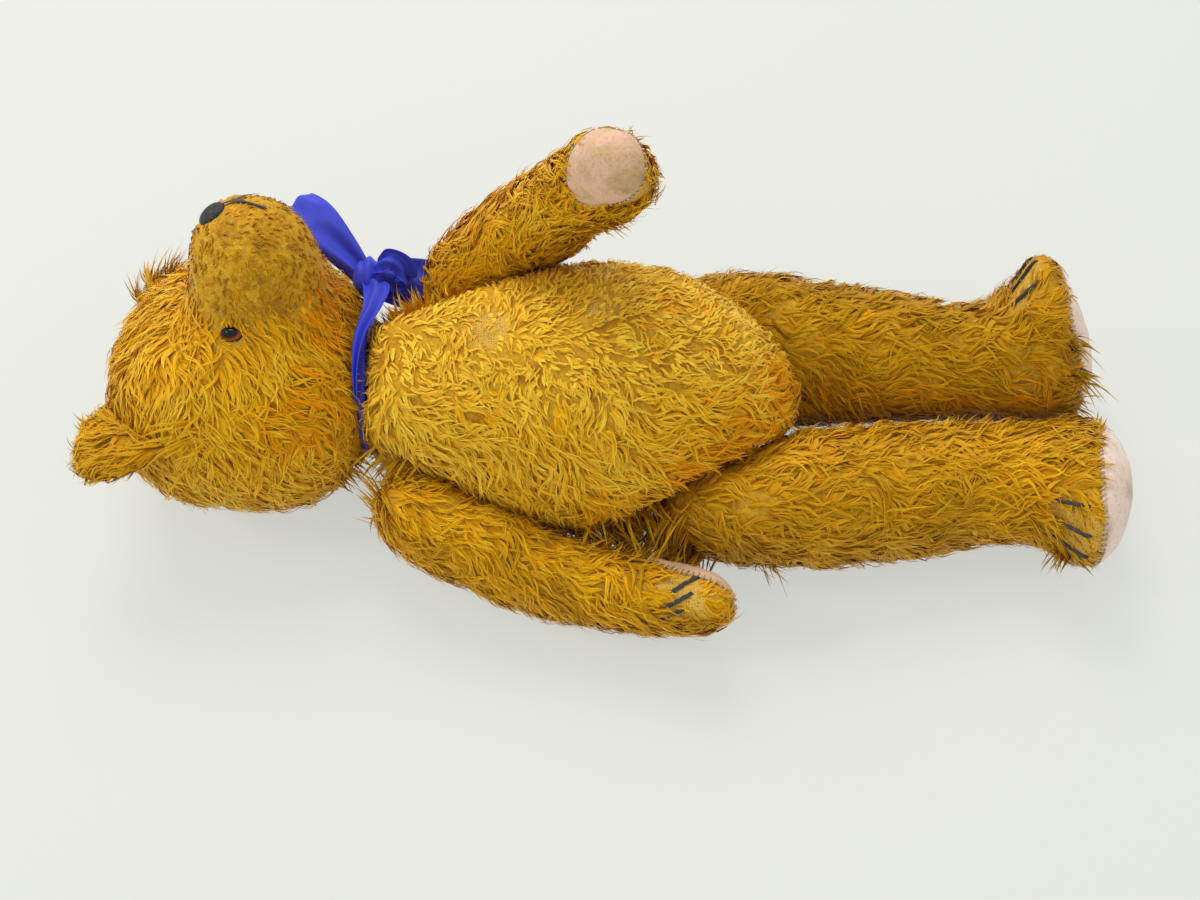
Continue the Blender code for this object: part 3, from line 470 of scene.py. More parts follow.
def addTube(shape, path, radius, sides=6):  # a round thread along a path, closed at its ends
    path = np.asarray(path)
    going = unit(np.gradient(path, axis=0))
    side = np.cross(going[0], (0.31, 0.52, 0.79))
    spots, faces = shape
    start = len(spots)
    for i, (point, ahead) in enumerate(zip(path, going)):
        side = side - ahead * (side @ ahead)
        side = side / np.linalg.norm(side)
        other = np.cross(ahead, side)
        thin = 0.7 if i in (0, len(path) - 1) else 1.0
        for k in range(sides):
            a = 2 * math.pi * k / sides
            spots.append(point + (side * math.cos(a) + other * math.sin(a)) * radius * thin)
    for i in range(len(path) - 1):
        for k in range(sides):
            a, b = start + i * sides + k, start + i * sides + (k + 1) % sides
            faces.append((a, b, b + sides, a + sides))
    faces.append([start + k for k in reversed(range(sides))])
    faces.append([start + (len(path) - 1) * sides + k for k in range(sides)])


def limbLine(node):  # which way a limb hangs from its joint
    side, kind = node.split("_")
    joint = joints[f"{side}_{'shoulder' if kind == 'arm' else 'hip'}"]
    end = middle(f"{side}_{'paw' if kind == 'arm' else 'foot'}_pad")
    return (end - Vector(joint["pos_m"])).normalized()


# Pads: felt cut to a shield for the paws and an oval for the soles, pulled over the stuffing and dimpled
# by it. Each is laid out from its middle over the skin. Pairs are for the left and the right one.
pads = {
    "rings": 20, "sectors": 72, "thick": 1.2 * mm, "above": 1.9 * mm, "rim": 0.9 * mm,
    "dimple": 0.6 * mm, "dimpleSize": 13 * mm, "pitSize": 5 * mm, "pits": 0.4,
    "lookedOver": 0.22, "rounded": 3, "evened": 4,  # radians of the outline, and how often it is smoothed
    "paw": {
        "limb": "arm", "felt": pawFelt, "grow": (1.0, 1.04), "tip": 0.25, "crown": (0.8, 0.8),
        "shift": ((1, 10, 7), (0, 0, 0)),
    },
    "foot": {
        "limb": "leg", "felt": footFelt, "grow": (1.02, 1.2), "tip": 0.0, "crown": (0.0, 2.4),
        "shift": ((0, 2, 0), (0, 0, 0)),
    },
}
# The linen thread that whips them on: over is its way across the edge, in mm, as out, along and up.
whipping = {
    "apart": 2.9 * mm, "uneven": 0.25 * mm, "thread": 0.44 * mm, "ahead": 1 * mm,
    "over": [(-1.9, -1.0, -0.1), (-1.14, -0.6, 0.75), (0.1, 0.0, 0.75), (1.0, 0.6, -0.2), (1.1, 1.0, -1.4)],
}


def padOutline(node, body, kind, grow):  # its middle and axes, the ways out from it and how far each goes
    outline = cadPoints(node)
    centre, axes = mainAxes(outline)
    flat = (outline - centre) @ axes[:2].T
    angle, out = np.arctan2(flat[:, 1], flat[:, 0]), np.linalg.norm(flat, axis=1)
    turns = np.linspace(-math.pi, math.pi, pads["sectors"] + 1)[:-1]
    apart = np.abs((angle[None] - turns[:, None] + math.pi) % (2 * math.pi) - math.pi)
    near = apart < pads["lookedOver"]
    reach = np.max(np.where(near, out[None] * np.cos(apart), 0), axis=1) * grow
    for _ in range(pads["rounded"]):
        reach = (np.roll(reach, 1) + 2 * reach + np.roll(reach, -1)) / 4
    tip = np.array(limbLine(body)) @ axes[:2].T
    towardTip = np.cos(turns - math.atan2(tip[1], tip[0]))
    reach = reach * (1 + kind["tip"] * np.maximum(towardTip, 0))
    heading = axes[0] * np.cos(turns)[:, None] + axes[1] * np.sin(turns)[:, None]
    return centre, heading, reach


def laidOver(tree, start, heading, reach):  # rings of points over the skin from a middle, and its normals
    start, up = (np.array(v) for v in tree.find_nearest(Vector(start))[:2])
    here, up = np.tile(start, (len(reach), 1)), np.tile(up, (len(reach), 1))
    laid, facing = [here], [up]
    for _ in range(pads["rings"]):
        heading = unit(heading - up * np.sum(heading * up, axis=1, keepdims=True))
        ahead = here + heading * (reach / pads["rings"])[:, None]
        found = [tree.find_nearest(Vector(p)) for p in ahead]
        here, up = np.array([f[0] for f in found]), np.array([f[1] for f in found])
        laid.append(here)
        facing.append(up)
    laid, facing = np.array(laid), np.array(facing)
    for _ in range(pads["evened"]):  # the middle stays a single point
        even = (np.roll(laid, 1, 1) + np.roll(laid, -1, 1) + 2 * laid) / 4
        even[1:-1] = (laid[:-2] + laid[2:]) / 4 + even[1:-1] / 2
        laid = even
        laid[0] = laid[1].mean(0)
        facing = unit(np.roll(facing, 1, 1) + facing + np.roll(facing, -1, 1))
    facing[0] = unit(facing[1].mean(0))
    return laid, facing


def padMesh(name, top, outward):  # one face from ring to ring, the middle closed by triangles
    count, faces = top.shape[1], []
    for i in range(1, top.shape[0] - 1):
        for k in range(count):
            beyond = (k + 1) % count
            faces.append((i * count + k, (i + 1) * count + k, (i + 1) * count + beyond, i * count + beyond))
    faces += [(0, count + k, count + (k + 1) % count) for k in range(count)]
    mesh = newMesh(name, top.reshape(-1, 3), faces)
    shape = bmesh.new()
    shape.from_mesh(mesh)
    bmesh.ops.delete(shape, geom=[v for v in shape.verts if not v.link_faces], context="VERTS")
    bmesh.ops.recalc_face_normals(shape, faces=shape.faces)
    if sum(f.normal.dot(Vector(outward)) for f in shape.faces) < 0:
        bmesh.ops.reverse_faces(shape, faces=shape.faces)
    shape.to_mesh(mesh)
    shape.free()
    return mesh


def whipOn(name, body, top, facing):  # slanting stitches every few millimetres over the edge
    edge, inner, normal = (
        np.concatenate([rows, rows[:1]]) for rows in (top[-1], top[-3], facing[-1])
    )
    travelled = np.concatenate([[0], np.cumsum(np.linalg.norm(np.diff(edge, axis=0), axis=1))])

    def along(rows, place):
        place = place % travelled[-1]
        return np.array([np.interp(place, travelled, rows[:, k]) for k in range(3)])

    shape = ([], [])
    for at in np.arange(0, travelled[-1], whipping["apart"]):
        at = at + rng.normal(0, whipping["uneven"])
        spot, up = along(edge, at), unit(along(normal, at))
        outward = unit(spot - along(inner, at))
        slant = unit(along(edge, at + whipping["ahead"]) - spot) * rng.uniform(0.4, 1.0)
        path = [spot + (outward * x + slant * y + up * z) * mm for x, y, z in whipping["over"]]
        addTube(shape, path, whipping["thread"], sides=5)
    for point in shape[0]:
        point[2] = max(point[2], aboveFloor)
    newPiece(name, newMesh(name, *shape), body, seamMaterial)


padTrees = {}
for side in ("left", "right"):
    for word in ("paw", "foot"):
        kind = pads[word]
        node, body = f"{side}_{word}_pad", f"{side}_{kind['limb']}"
        name = camel(node)
        grow, crown, shift = (kind[key][side == "right"] for key in ("grow", "crown", "shift"))
        centre, heading, reach = padOutline(node, body, kind, grow)
        laid, facing = laidOver(trees[body], centre + np.array(shift) * mm, heading, reach)

        # raised over the stuffing, dimpled, and drawn down by its stitches at the rim
        share = (np.arange(pads["rings"] + 1) / pads["rings"])[:, None]
        dents = fieldNoise(laid.reshape(-1, 3), pads["dimpleSize"], 2)
        dents = dents + pads["pits"] * fieldNoise(laid.reshape(-1, 3), pads["pitSize"], 6)
        height = pads["above"] + crown * mm * (1 - share**2)
        height = height + pads["dimple"] * dents.reshape(laid.shape[:2]) * (1 - share**6)
        height = height - pads["rim"] * smoothstep(0.9, 1.0, share)
        top = laid + facing * height[:, :, None]
        top[:, :, 2] = np.maximum(top[:, :, 2], aboveFloor)

        mesh = padMesh(name + "Felt", top, facing[0, 0])
        piece = newPiece(name + "Felt", mesh, body, kind["felt"])
        thickened(piece, pads["thick"], -1.0)
        offTheFloor(piece.data)
        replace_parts(piece, node)
        spots = [point.co for point in piece.data.vertices]
        padTrees[body] = BVHTree.FromPolygons(spots, [tuple(f.vertices) for f in piece.data.polygons])
        whipOn(name + "Stitches", body, top, facing)
print("pads sewn on")

overEyes = [
    (beside(f"{side}_eye", x, 0, 0), 3.1, 0.0) for side in ("left", "right") for x in (-3.2, 0, 3.2)
]
wear = {  # where the pile has worn: middle, radius in mm, how much is left
    "head": [*overEyes, (noseAt, 7, 0.0)],
    "torso": [(beside("torso", -46, -2, 62), 12, 0.5), (beside("torso", 8, 8, 70), 11, 0.5)],
    "left_arm": [
        (middle("left_paw_claw_2"), 7, 0.1), (beside("left_paw_pad", 18, 10, 10), 14, 0.4),
        (beside("left_paw_pad", 20, -4, -10), 13, 0.4), (beside("left_paw_pad", 2, 16, 18), 11, 0.4),
    ],
    "right_arm": [(middle("right_paw_claw_2"), 14, 0.3)],
    "left_leg": [
        (middle("left_foot_claw_2"), 12, 0.2), ((0.208, 0.058, 0.08), 9, 0.4),
        ((0.206, 0.024, 0.055), 8, 0.5),
    ],
    "right_leg": [(middle("right_foot_claw_2"), 15, 0.3)],
}
dyed = {  # where the dye has stayed orange: middle, radius in mm
    "head": [(beside("right_eye", 32, 30, -8), 22), (beside("right_eye", 30, -22, -24), 22)],
    "left_arm": [(beside("left_paw_pad", -26, -4, -40), 20), (beside("left_paw_pad", -8, -10, -44), 14)],
    "torso": [
        (beside("torso", 72, -40, 25), 24), (beside("torso", 44, -52, 14), 17),
        (beside("torso", 10, -56, 6), 13), (beside("torso", 88, -16, 28), 14),
    ],
    "left_leg": [
        ((0.2, 0.012, 0.05), 16), ((0.17, 0.012, 0.05), 13), ((0.14, 0.013, 0.052), 13),
        ((0.105, 0.016, 0.055), 15),
    ],
    "right_leg": [((0.095, -0.012, 0.075), 12), ((0.05, -0.046, 0.05), 10)],
}
# The torso's large pale patch by the neck is painted light, for the light falling there; the other patches
# are bleached by the sun or soiled by hands.
tintsAndPaintedLight = {  # bleached by the sun or soiled by hands: middle, radius in mm, how much lighter
    "head": [
        (beside("nose", 14, -12, -2), 13, -0.16), (beside("nose", 40, -14, -14), 15, -0.2),
        (beside("nose", 8, -28, -22), 12, -0.14), (beside("right_eye", -26, -22, -10), 18, 0.1),
        (beside("right_eye", -16, 24, -4), 14, 0.1),
    ],
    "torso": [
        # painted light: this patch by the neck is made paler where the light falls on it
        (beside("torso", -76, -34, 30), 30, 0.12), (beside("torso", 60, -50, 30), 14, -0.1),
        (beside("torso", 50, 16, 60), 16, -0.08),
    ],
    "right_leg": [(beside("right_leg", 40, -4, 40), 26, 0.1)],
}
threadbareEdge = (0.8, 1.3)  # from where to where in a worn place its threads fade out, in radii
for node, piece in surfaces.items():
    spots = arrays[node][0]
    amount = np.zeros(len(spots))
    for place, radius, _ in wear.get(node, []):
        near = np.linalg.norm(spots - np.array(place), axis=1)
        inner, outer = (radius * edge * mm for edge in threadbareEdge)
        amount = np.maximum(amount, 1 - smoothstep(inner, outer, near))
    shown = piece.data.attributes.new("worn", "FLOAT", "POINT")
    shown.data.foreach_set("value", amount.astype(np.float32))

# the near arm and the legs have lower tones: partly their own more olive hair, partly painted shade for sides
# turned from the light
coats = {  # mats and locks counted, lengths in mm; curl is how far a lock winds, tone is its mean colour
    "torso": {"mats": 3100, "locks": 5200, "length": 20, "rise": 3.6, "curl": 0.85, "tone": 0.63},
    "head": {"mats": 2300, "locks": 4400, "length": 21, "rise": 3.6, "curl": 0.8, "tone": 0.58},
    "left_arm": {"mats": 900, "locks": 1700, "length": 22, "rise": 3.2, "curl": 0.6, "tone": 0.56},
    "right_arm": {"mats": 900, "locks": 1750, "length": 19, "rise": 3.4, "curl": 0.75, "tone": 0.47},
    "left_leg": {"mats": 1700, "locks": 2400, "length": 21, "rise": 3.2, "curl": 0.8, "tone": 0.31},
    "right_leg": {"mats": 1700, "locks": 2500, "length": 21, "rise": 3.4, "curl": 0.8, "tone": 0.40},
    "left_ear": {"mats": 110, "locks": 300, "length": 15, "rise": 2.4, "curl": 0.6, "tone": 0.38},
    "right_ear": {"mats": 110, "locks": 340, "length": 22, "rise": 2.8, "curl": 0.9, "tone": 0.42},
}
twoPieces = ("torso", "head")  # coats made as a front and a back piece
layers = {  # matted hair, the locks over it and stray hairs; blades is how many a lock has, sizes in mm
    "mat": {
        "blades": 1, "width": 3.2, "spread": 0.2, "rise": 0.5, "reach": 0.85, "tone": -0.01,
        "column": 0.0133, "roll": 0.12,
    },
    "lock": {
        "blades": 2, "width": 1.35, "spread": 0.5, "rise": 0.85, "reach": 1.0, "tone": 0.01,
        "column": 0.0095, "roll": 0.45,
    },
    "hair": {
        "blades": 2, "width": 0.55, "spread": 1.15, "rise": 1.1, "reach": 1.05, "tone": 0.05,
        "column": 0.004, "roll": 0.45,
    },
}
tufts = {  # long wisps that stand away: place, direction, bend, length in mm, locks, how far apart in mm
    "left_ear": [
        (beside("left_ear", -14, 6, 5), (-0.8, 0.5, 0.4), (1.3, 0.5, 0.5), 19, 12, 1.8),
        (beside("left_ear", -6, 8, 5), (-0.7, 0.6, 0.5), (1.5, 0.3, 0.3), 20, 14, 1.8),
        (beside("left_ear", 4, 8, 6), (-0.6, 0.6, 0.5), (1.5, 0.2, 0.2), 19, 14, 1.8),
        (beside("left_ear", 13, 6, 8), (-0.5, 0.6, 0.6), (1.4, 0.1, 0.1), 17, 12, 1.8),
        (beside("left_ear", 22, 2, 12), (-0.3, 0.6, 0.6), (1.1, 0.1, 0.0), 13, 9, 1.8),
        (beside("left_ear", -24, -8, 2), (-0.9, 0.4, 0.3), (0.7, 0.9, 0.5), 14, 8, 2.2),
    ],
    "right_ear": [
        (beside("right_ear", -20, 6, 4), (-0.9, 0.2, 0.1), (0.6, 1.0, 0.6), 11, 5, 2.5),
        (beside("right_ear", -18, -6, -4), (-0.95, -0.1, -0.2), (0.2, 0.5, 0.2), 14, 5, 2.5),
        (beside("right_ear", -8, -14, -6), (-0.9, -0.4, -0.2), (0.1, 0.4, 0.0), 12, 3, 2.0),
        (beside("right_ear", 4, -12, -4), (-0.9, -0.3, -0.3), (0.0, 0.3, -0.1), 12, 3, 2.0),
    ],
    "left_arm": [
        (beside("left_paw_pad", -14, 10, 12), (-0.3, 0.8, 0.5), (-0.4, 0.1, 0.1), 8, 4, 1.6),
        (beside("left_paw_pad", -28, 6, 2), (-0.95, 0.2, 0.1), (-0.1, 0.5, 0.2), 11, 3, 1.6),
        (beside("left_paw_pad", 4, -8, -34), (0.9, -0.1, -0.1), (0.1, 0.2, 0.1), 13, 5, 3.0),
        (beside("left_paw_pad", -4, -10, -44), (0.9, -0.1, -0.2), (0.1, 0.1, 0.0), 15, 6, 3.0),
    ],
    "head": [
        (beside("right_eye", -1, 6.0, 4.0), (0.5, -0.8, 0.1), (0.2, 0.2, -0.8), 6.5, 9, 1.3),
        (beside("right_eye", 4, 5.5, 3.6), (0.6, -0.7, 0.1), (0.2, 0.2, -0.8), 6.5, 9, 1.3),
        (beside("right_eye", -5, -4.6, -3.0), (0.8, 0.25, 0.5), (0.3, -0.3, -0.9), 8, 9, 1.2),
        (beside("right_eye", 2, -5.8, -3.6), (0.8, 0.2, 0.5), (0.3, -0.3, -0.9), 8, 9, 1.2),
        ((-0.199, -0.042, 0.1), (-1.0, 0.0, 0.05), (0.1, -0.4, -0.2), 27, 12, 6.0),
        ((-0.125, -0.03, 0.05), (0.8, -0.3, -0.2), (0.2, -0.4, -0.3), 12, 14, 6.0),
    ],
    "right_arm": [
        ((-0.112, -0.046, 0.05), (-0.3, 0.5, 0.3), (-0.5, 0.3, -0.4), 15, 22, 6.0),
        ((-0.006, -0.062, 0.045), (0.6, 0.6, 0.1), (0.2, 0.2, -0.4), 15, 22, 8.0),
        ((0.01, -0.064, 0.045), (0.6, 0.6, 0.1), (0.2, 0.2, -0.4), 13, 16, 7.0),
        ((0.018, -0.066, 0.03), (0.3, 0.9, -0.1), (0.3, 0.2, -0.2), 19, 40, 9.0),
    ],
    "torso": [
        ((-0.1, 0.05, 0.1), (-0.6, 0.5, 0.4), (0.3, 0.3, -0.2), 16, 50, 8.0),
        ((-0.106, 0.036, 0.098), (-0.8, 0.3, 0.5), (0.0, 0.2, -0.3), 15, 34, 6.0),
        ((-0.106, -0.03, 0.06), (-0.7, -0.3, -0.2), (0.0, -0.5, -0.4), 17, 40, 8.0),
        ((-0.014, -0.046, 0.04), (0.4, -0.7, -0.3), (0.5, -0.2, -0.4), 20, 40, 9.0),
        ((0.006, -0.044, 0.044), (0.3, -0.8, -0.3), (0.4, -0.1, -0.4), 23, 50, 9.0),
    ],
    "left_leg": [
        ((0.066, 0.062, 0.088), (0.5, 0.5, 0.6), (0.9, 0.1, -0.2), 14, 9, 5.0),
        ((0.086, 0.014, 0.052), (0.4, -0.7, 0.0), (0.3, -0.2, -0.6), 14, 16, 6.0),
        ((0.112, 0.014, 0.05), (0.4, -0.7, 0.0), (0.3, -0.2, -0.6), 13, 16, 8.0),
        (beside("left_foot_pad", -8, -20, 22), (0.5, -0.3, 0.5), (0.1, -0.7, -0.7), 15, 6, 3.5),
        (beside("left_foot_pad", -8, -28, 4), (0.5, -0.4, 0.5), (0.2, -0.4, -0.8), 16, 7, 4.0),
        (beside("left_foot_pad", -8, -30, -16), (0.6, -0.4, 0.5), (0.3, -0.3, -0.9), 14, 6, 3.5),
    ],
    "right_leg": [
        (beside("right_foot_claw_3", -12, -8, -14), (-0.6, -0.7, -0.2), (0.3, -0.3, -0.1), 15, 5, 2.0),
        (beside("right_foot_claw_3", 4, -8, -16), (0.8, -0.5, -0.2), (0.1, -0.1, 0.0), 10, 3, 1.6),
        (beside("right_foot_pad", -8, 26, 30), (0.5, 0.5, 0.5), (-0.4, 0.4, 0.2), 10, 5, 2.0),
        ((0.024, -0.044, 0.045), (-0.6, -0.6, -0.2), (0.3, -0.5, -0.4), 23, 40, 8.0),
        ((0.026, -0.05, 0.028), (-0.9, -0.2, 0.0), (0.3, -0.4, -0.2), 20, 36, 6.0),
        ((0.034, -0.056, 0.024), (-0.6, -0.8, 0.0), (0.1, -0.4, -0.2), 16, 26, 6.0),
        ((0.03, -0.048, 0.035), (-0.5, -0.7, -0.2), (0.5, -0.3, -0.4), 19, 26, 6.0),
        ((0.07, -0.055, 0.03), (0.1, -0.8, -0.2), (0.8, 0.1, -0.4), 14, 5, 3.0),
        ((0.17, -0.002, 0.06), (0.5, 0.6, 0.0), (0.4, 0.2, -0.5), 12, 20, 14.0),
    ],
}
neighbours = {
    "torso": ["head", "left_arm", "right_arm", "left_leg", "right_leg"],
    "head": ["torso", "left_arm", "right_arm"],
    "left_arm": ["torso", "head"], "right_arm": ["torso", "right_leg"],
    "left_leg": ["torso", "right_leg"], "right_leg": ["torso", "left_leg", "right_arm"],
    "left_ear": ["head"], "right_ear": ["head"],
}
room = {  # out is how far the pile may stand out of the box that the solids fill; far, where none is near
    "out": 10 * mm, "apart": 1.5 * mm, "aboveFloor": 1.2 * mm, "far": 0.03,
    "pockets": {"neck_swivel": 27, "hip": 23, "shoulder": 19}, "pocketDeep": 10 * mm,
}


def distances(points, tree, reach=room["far"]):
    found = [tree.find_nearest(Vector(p), reach)[3] for p in points]
    return np.array([reach if d is None else d for d in found])


def scatter(node, count):  # even random places on a skin, with its normals there
    points, normals, corners = arrays[node]
    a, b, c = (points[corners[:, k]] for k in range(3))
    areas = np.linalg.norm(np.cross(b - a, c - a), axis=1)
    chosen = rng.choice(len(areas), count, p=areas / areas.sum())
    u, v = rng.random(count), rng.random(count)
    over = u + v > 1
    u[over], v[over] = 1 - u[over], 1 - v[over]
    shares = (1 - u - v, u, v)
    spot = sum(points[corners[chosen, k]] * s[:, None] for k, s in enumerate(shares))
    facing = sum(normals[corners[chosen, k]] * s[:, None] for k, s in enumerate(shares))
    return spot, unit(facing)


def hiddenAt(points, joint):  # in a joint's pocket, where none is grown
    kind = joint["name"].replace("left_", "").replace("right_", "")
    at, axis = np.array(joint["pos_m"]), np.array(joint["axis"])
    along = (points - at) @ axis
    out = np.linalg.norm(points - at - along[:, None] * axis, axis=1)
    return (np.abs(along) < room["pocketDeep"]) & (out < room["pockets"][kind] * mm)


# How the pile lies: spreads of its lengths, strays and tones, and the ways it is combed. Noise is given as
# how much, how large in mm, and its seed.
lie = {
    "lengths": (0.72, 1.2), "strays": 0.08, "free": (0.2, 0.5), "earFree": (0, 0.45),
    "tones": [(0.15, 30, 3), (0.13, 10, 9)], "toneSpread": 0.045, "toneEnds": (0.03, 0.84),
    "torso": (0.4, 0.0, -1.0), "head": (0.3, 0, -0.35), "ear": (-1.0, 0.15, 0.0), "earOut": 0.3,
    "limb": (0, 0, -0.5),
}
thinned = {  # places are behind the nose, lengths in mm; most others are shares of the coat
    "muzzleEdge": (-46 * mm, -32 * mm), "muzzleRagged": (5 * mm, 14, 31), "muzzleLength": 4.0,
    "muzzleDark": 0.2, "muzzleGrime": 0.32, "muzzlePatches": [(0.7, 15, 5), (1.0, 6, 8)],
    "grimeFrom": (-0.3, 0.6), "top": (0.45, 0.85), "topLean": 0.3, "topShorter": 0.5, "topPaler": 0.2,
    "back": (0.3, 0.7), "backThinner": 0.4, "byPad": (3 * mm, 12 * mm), "byPadLeft": 0.55,
    "padBare": 3.2 * mm, "padNear": 0.02, "shorter": 0.5, "rubbedEdge": (0.7, 1.25),
    "tintEdge": (0.4, 1.2),
}
dye = {  # the orange patches
    "patches": (1.0, 34, 21), "grain": 0.1, "above": 0.74, "edge": (0.6, 1.15), "share": 0.6, "spread": 0.012,
}


def noisy(spot, share, size, seed):  # smooth noise of a size in mm
    return share * fieldNoise(spot, size * mm, seed)


def combed(way, count):
    return np.tile(np.array(way), (count, 1))


def plan(node, spot, facing):  # what grows where: share left, length, nap, tone, how far it flies free
    coat, count = coats[node], len(spot)
    length = coat["length"] * rng.uniform(*lie["lengths"], count)
    strays = rng.random(count) < lie["strays"]
    free = np.where(strays, rng.uniform(*lie["free"], count), 0.0)
    keep, tone = np.ones(count), np.full(count, coat["tone"])
    for field in lie["tones"]:
        tone = tone + noisy(spot, *field)
    tone = tone + rng.normal(0, lie["toneSpread"], count)
    if node == "torso":
        nap = combed(lie["torso"], count)
        # the upward top, leaning toward the window: its pile is shorter where worn, and made paler as painted
        # light
        top = smoothstep(*thinned["top"], facing[:, 2] + thinned["topLean"] * facing[:, 1])
        length *= 1 - thinned["topShorter"] * top
        tone += thinned["topPaler"] * top
        keep *= 1 - thinned["backThinner"] * smoothstep(*thinned["back"], -facing[:, 2])
    elif node == "head":
        nap = combed(-np.array(muzzleDir) + np.array(lie["head"]), count)
        ahead = (spot - np.array(noseAt)) @ np.array(muzzleDir)
        ragged = noisy(spot, *thinned["muzzleRagged"])
        onMuzzle = smoothstep(*thinned["muzzleEdge"], ahead + ragged)
        length = length * (1 - onMuzzle) + thinned["muzzleLength"] * onMuzzle
        patchy = sum(noisy(spot, *field) for field in thinned["muzzlePatches"])
        grime = thinned["muzzleGrime"] * smoothstep(*thinned["grimeFrom"], patchy)
        tone -= onMuzzle * (thinned["muzzleDark"] + grime)
        free *= 1 - onMuzzle
    elif node.endswith("ear"):
        outward = np.array((middle(node) - skullAt).normalized())
        nap = combed(np.array(lie["ear"]) + lie["earOut"] * outward, count)
        free = np.maximum(free, rng.uniform(*lie["earFree"], count))
    else:
        nap = combed(np.array(limbLine(node)) + np.array(lie["limb"]), count)
        toPad = distances(spot, padTrees[node], thinned["padNear"])
        keep = np.where(toPad < thinned["padBare"], 0.0, keep)
        clearOfPad = smoothstep(*thinned["byPad"], toPad)
        length *= thinned["byPadLeft"] + (1 - thinned["byPadLeft"]) * clearOfPad
        free *= clearOfPad
    for place, radius, left in wear.get(node, []):
        inner, outer = (radius * edge * mm for edge in thinned["rubbedEdge"])
        rubbed = 1 - smoothstep(inner, outer, np.linalg.norm(spot - np.array(place), axis=1))
        keep *= 1 - rubbed * (1 - left)
        length *= 1 - thinned["shorter"] * rubbed
    for place, radius, lighter in tintsAndPaintedLight.get(node, []):
        inner, outer = (radius * edge * mm for edge in thinned["tintEdge"])
        near = np.linalg.norm(spot - np.array(place), axis=1)
        tone += lighter * (1 - smoothstep(inner, outer, near))
    orange = noisy(spot, *dye["patches"]) + dye["grain"] * rng.normal(0, 1, count) > dye["above"]
    for place, radius in dyed.get(node, []):
        near = np.linalg.norm(spot - np.array(place), axis=1)
        within = near < radius * mm * rng.uniform(*dye["edge"], count)
        orange |= within & (rng.random(count) < dye["share"])
    dyedTone = tones["orange"][0] + rng.normal(0, dye["spread"], count)
    tone = np.where(orange, dyedTone, np.clip(tone, *lie["toneEnds"]))
    return keep, length * mm, unit(nap), tone, free


strand = {  # a blade: its width from root to tip, the spreads of its size, and how it arches and ripples
    "taper": (0.75, 1.0, 1.0, 0.82, 0.5, 0.0), "reaches": (0.7, 1.0), "widths": (0.65, 1.15),
    "rises": (0.55, 1.25), "turn": (0, 6.28), "arch": 1.3, "ripple": 0.4 * mm, "ripples": (5, 9),
    "closing": 0.85, "standing": 0.6, "rooted": 0.5 * mm, "under": 0.4 * mm, "rounded": 0.3,
    "toneSpread": 0.02, "sizes": (0.25, 1.2), "fanned": (0.5, 1), "widened": (0.7, 1), "ofRoom": 0.45,
    "wave": (0.78, 0.3, 5), "lowest": 0.5 * mm, "mapMargin": 0.02,
    "facing": (0.2, 0.8),  # how much its light follows the blade, and how much the skin
}


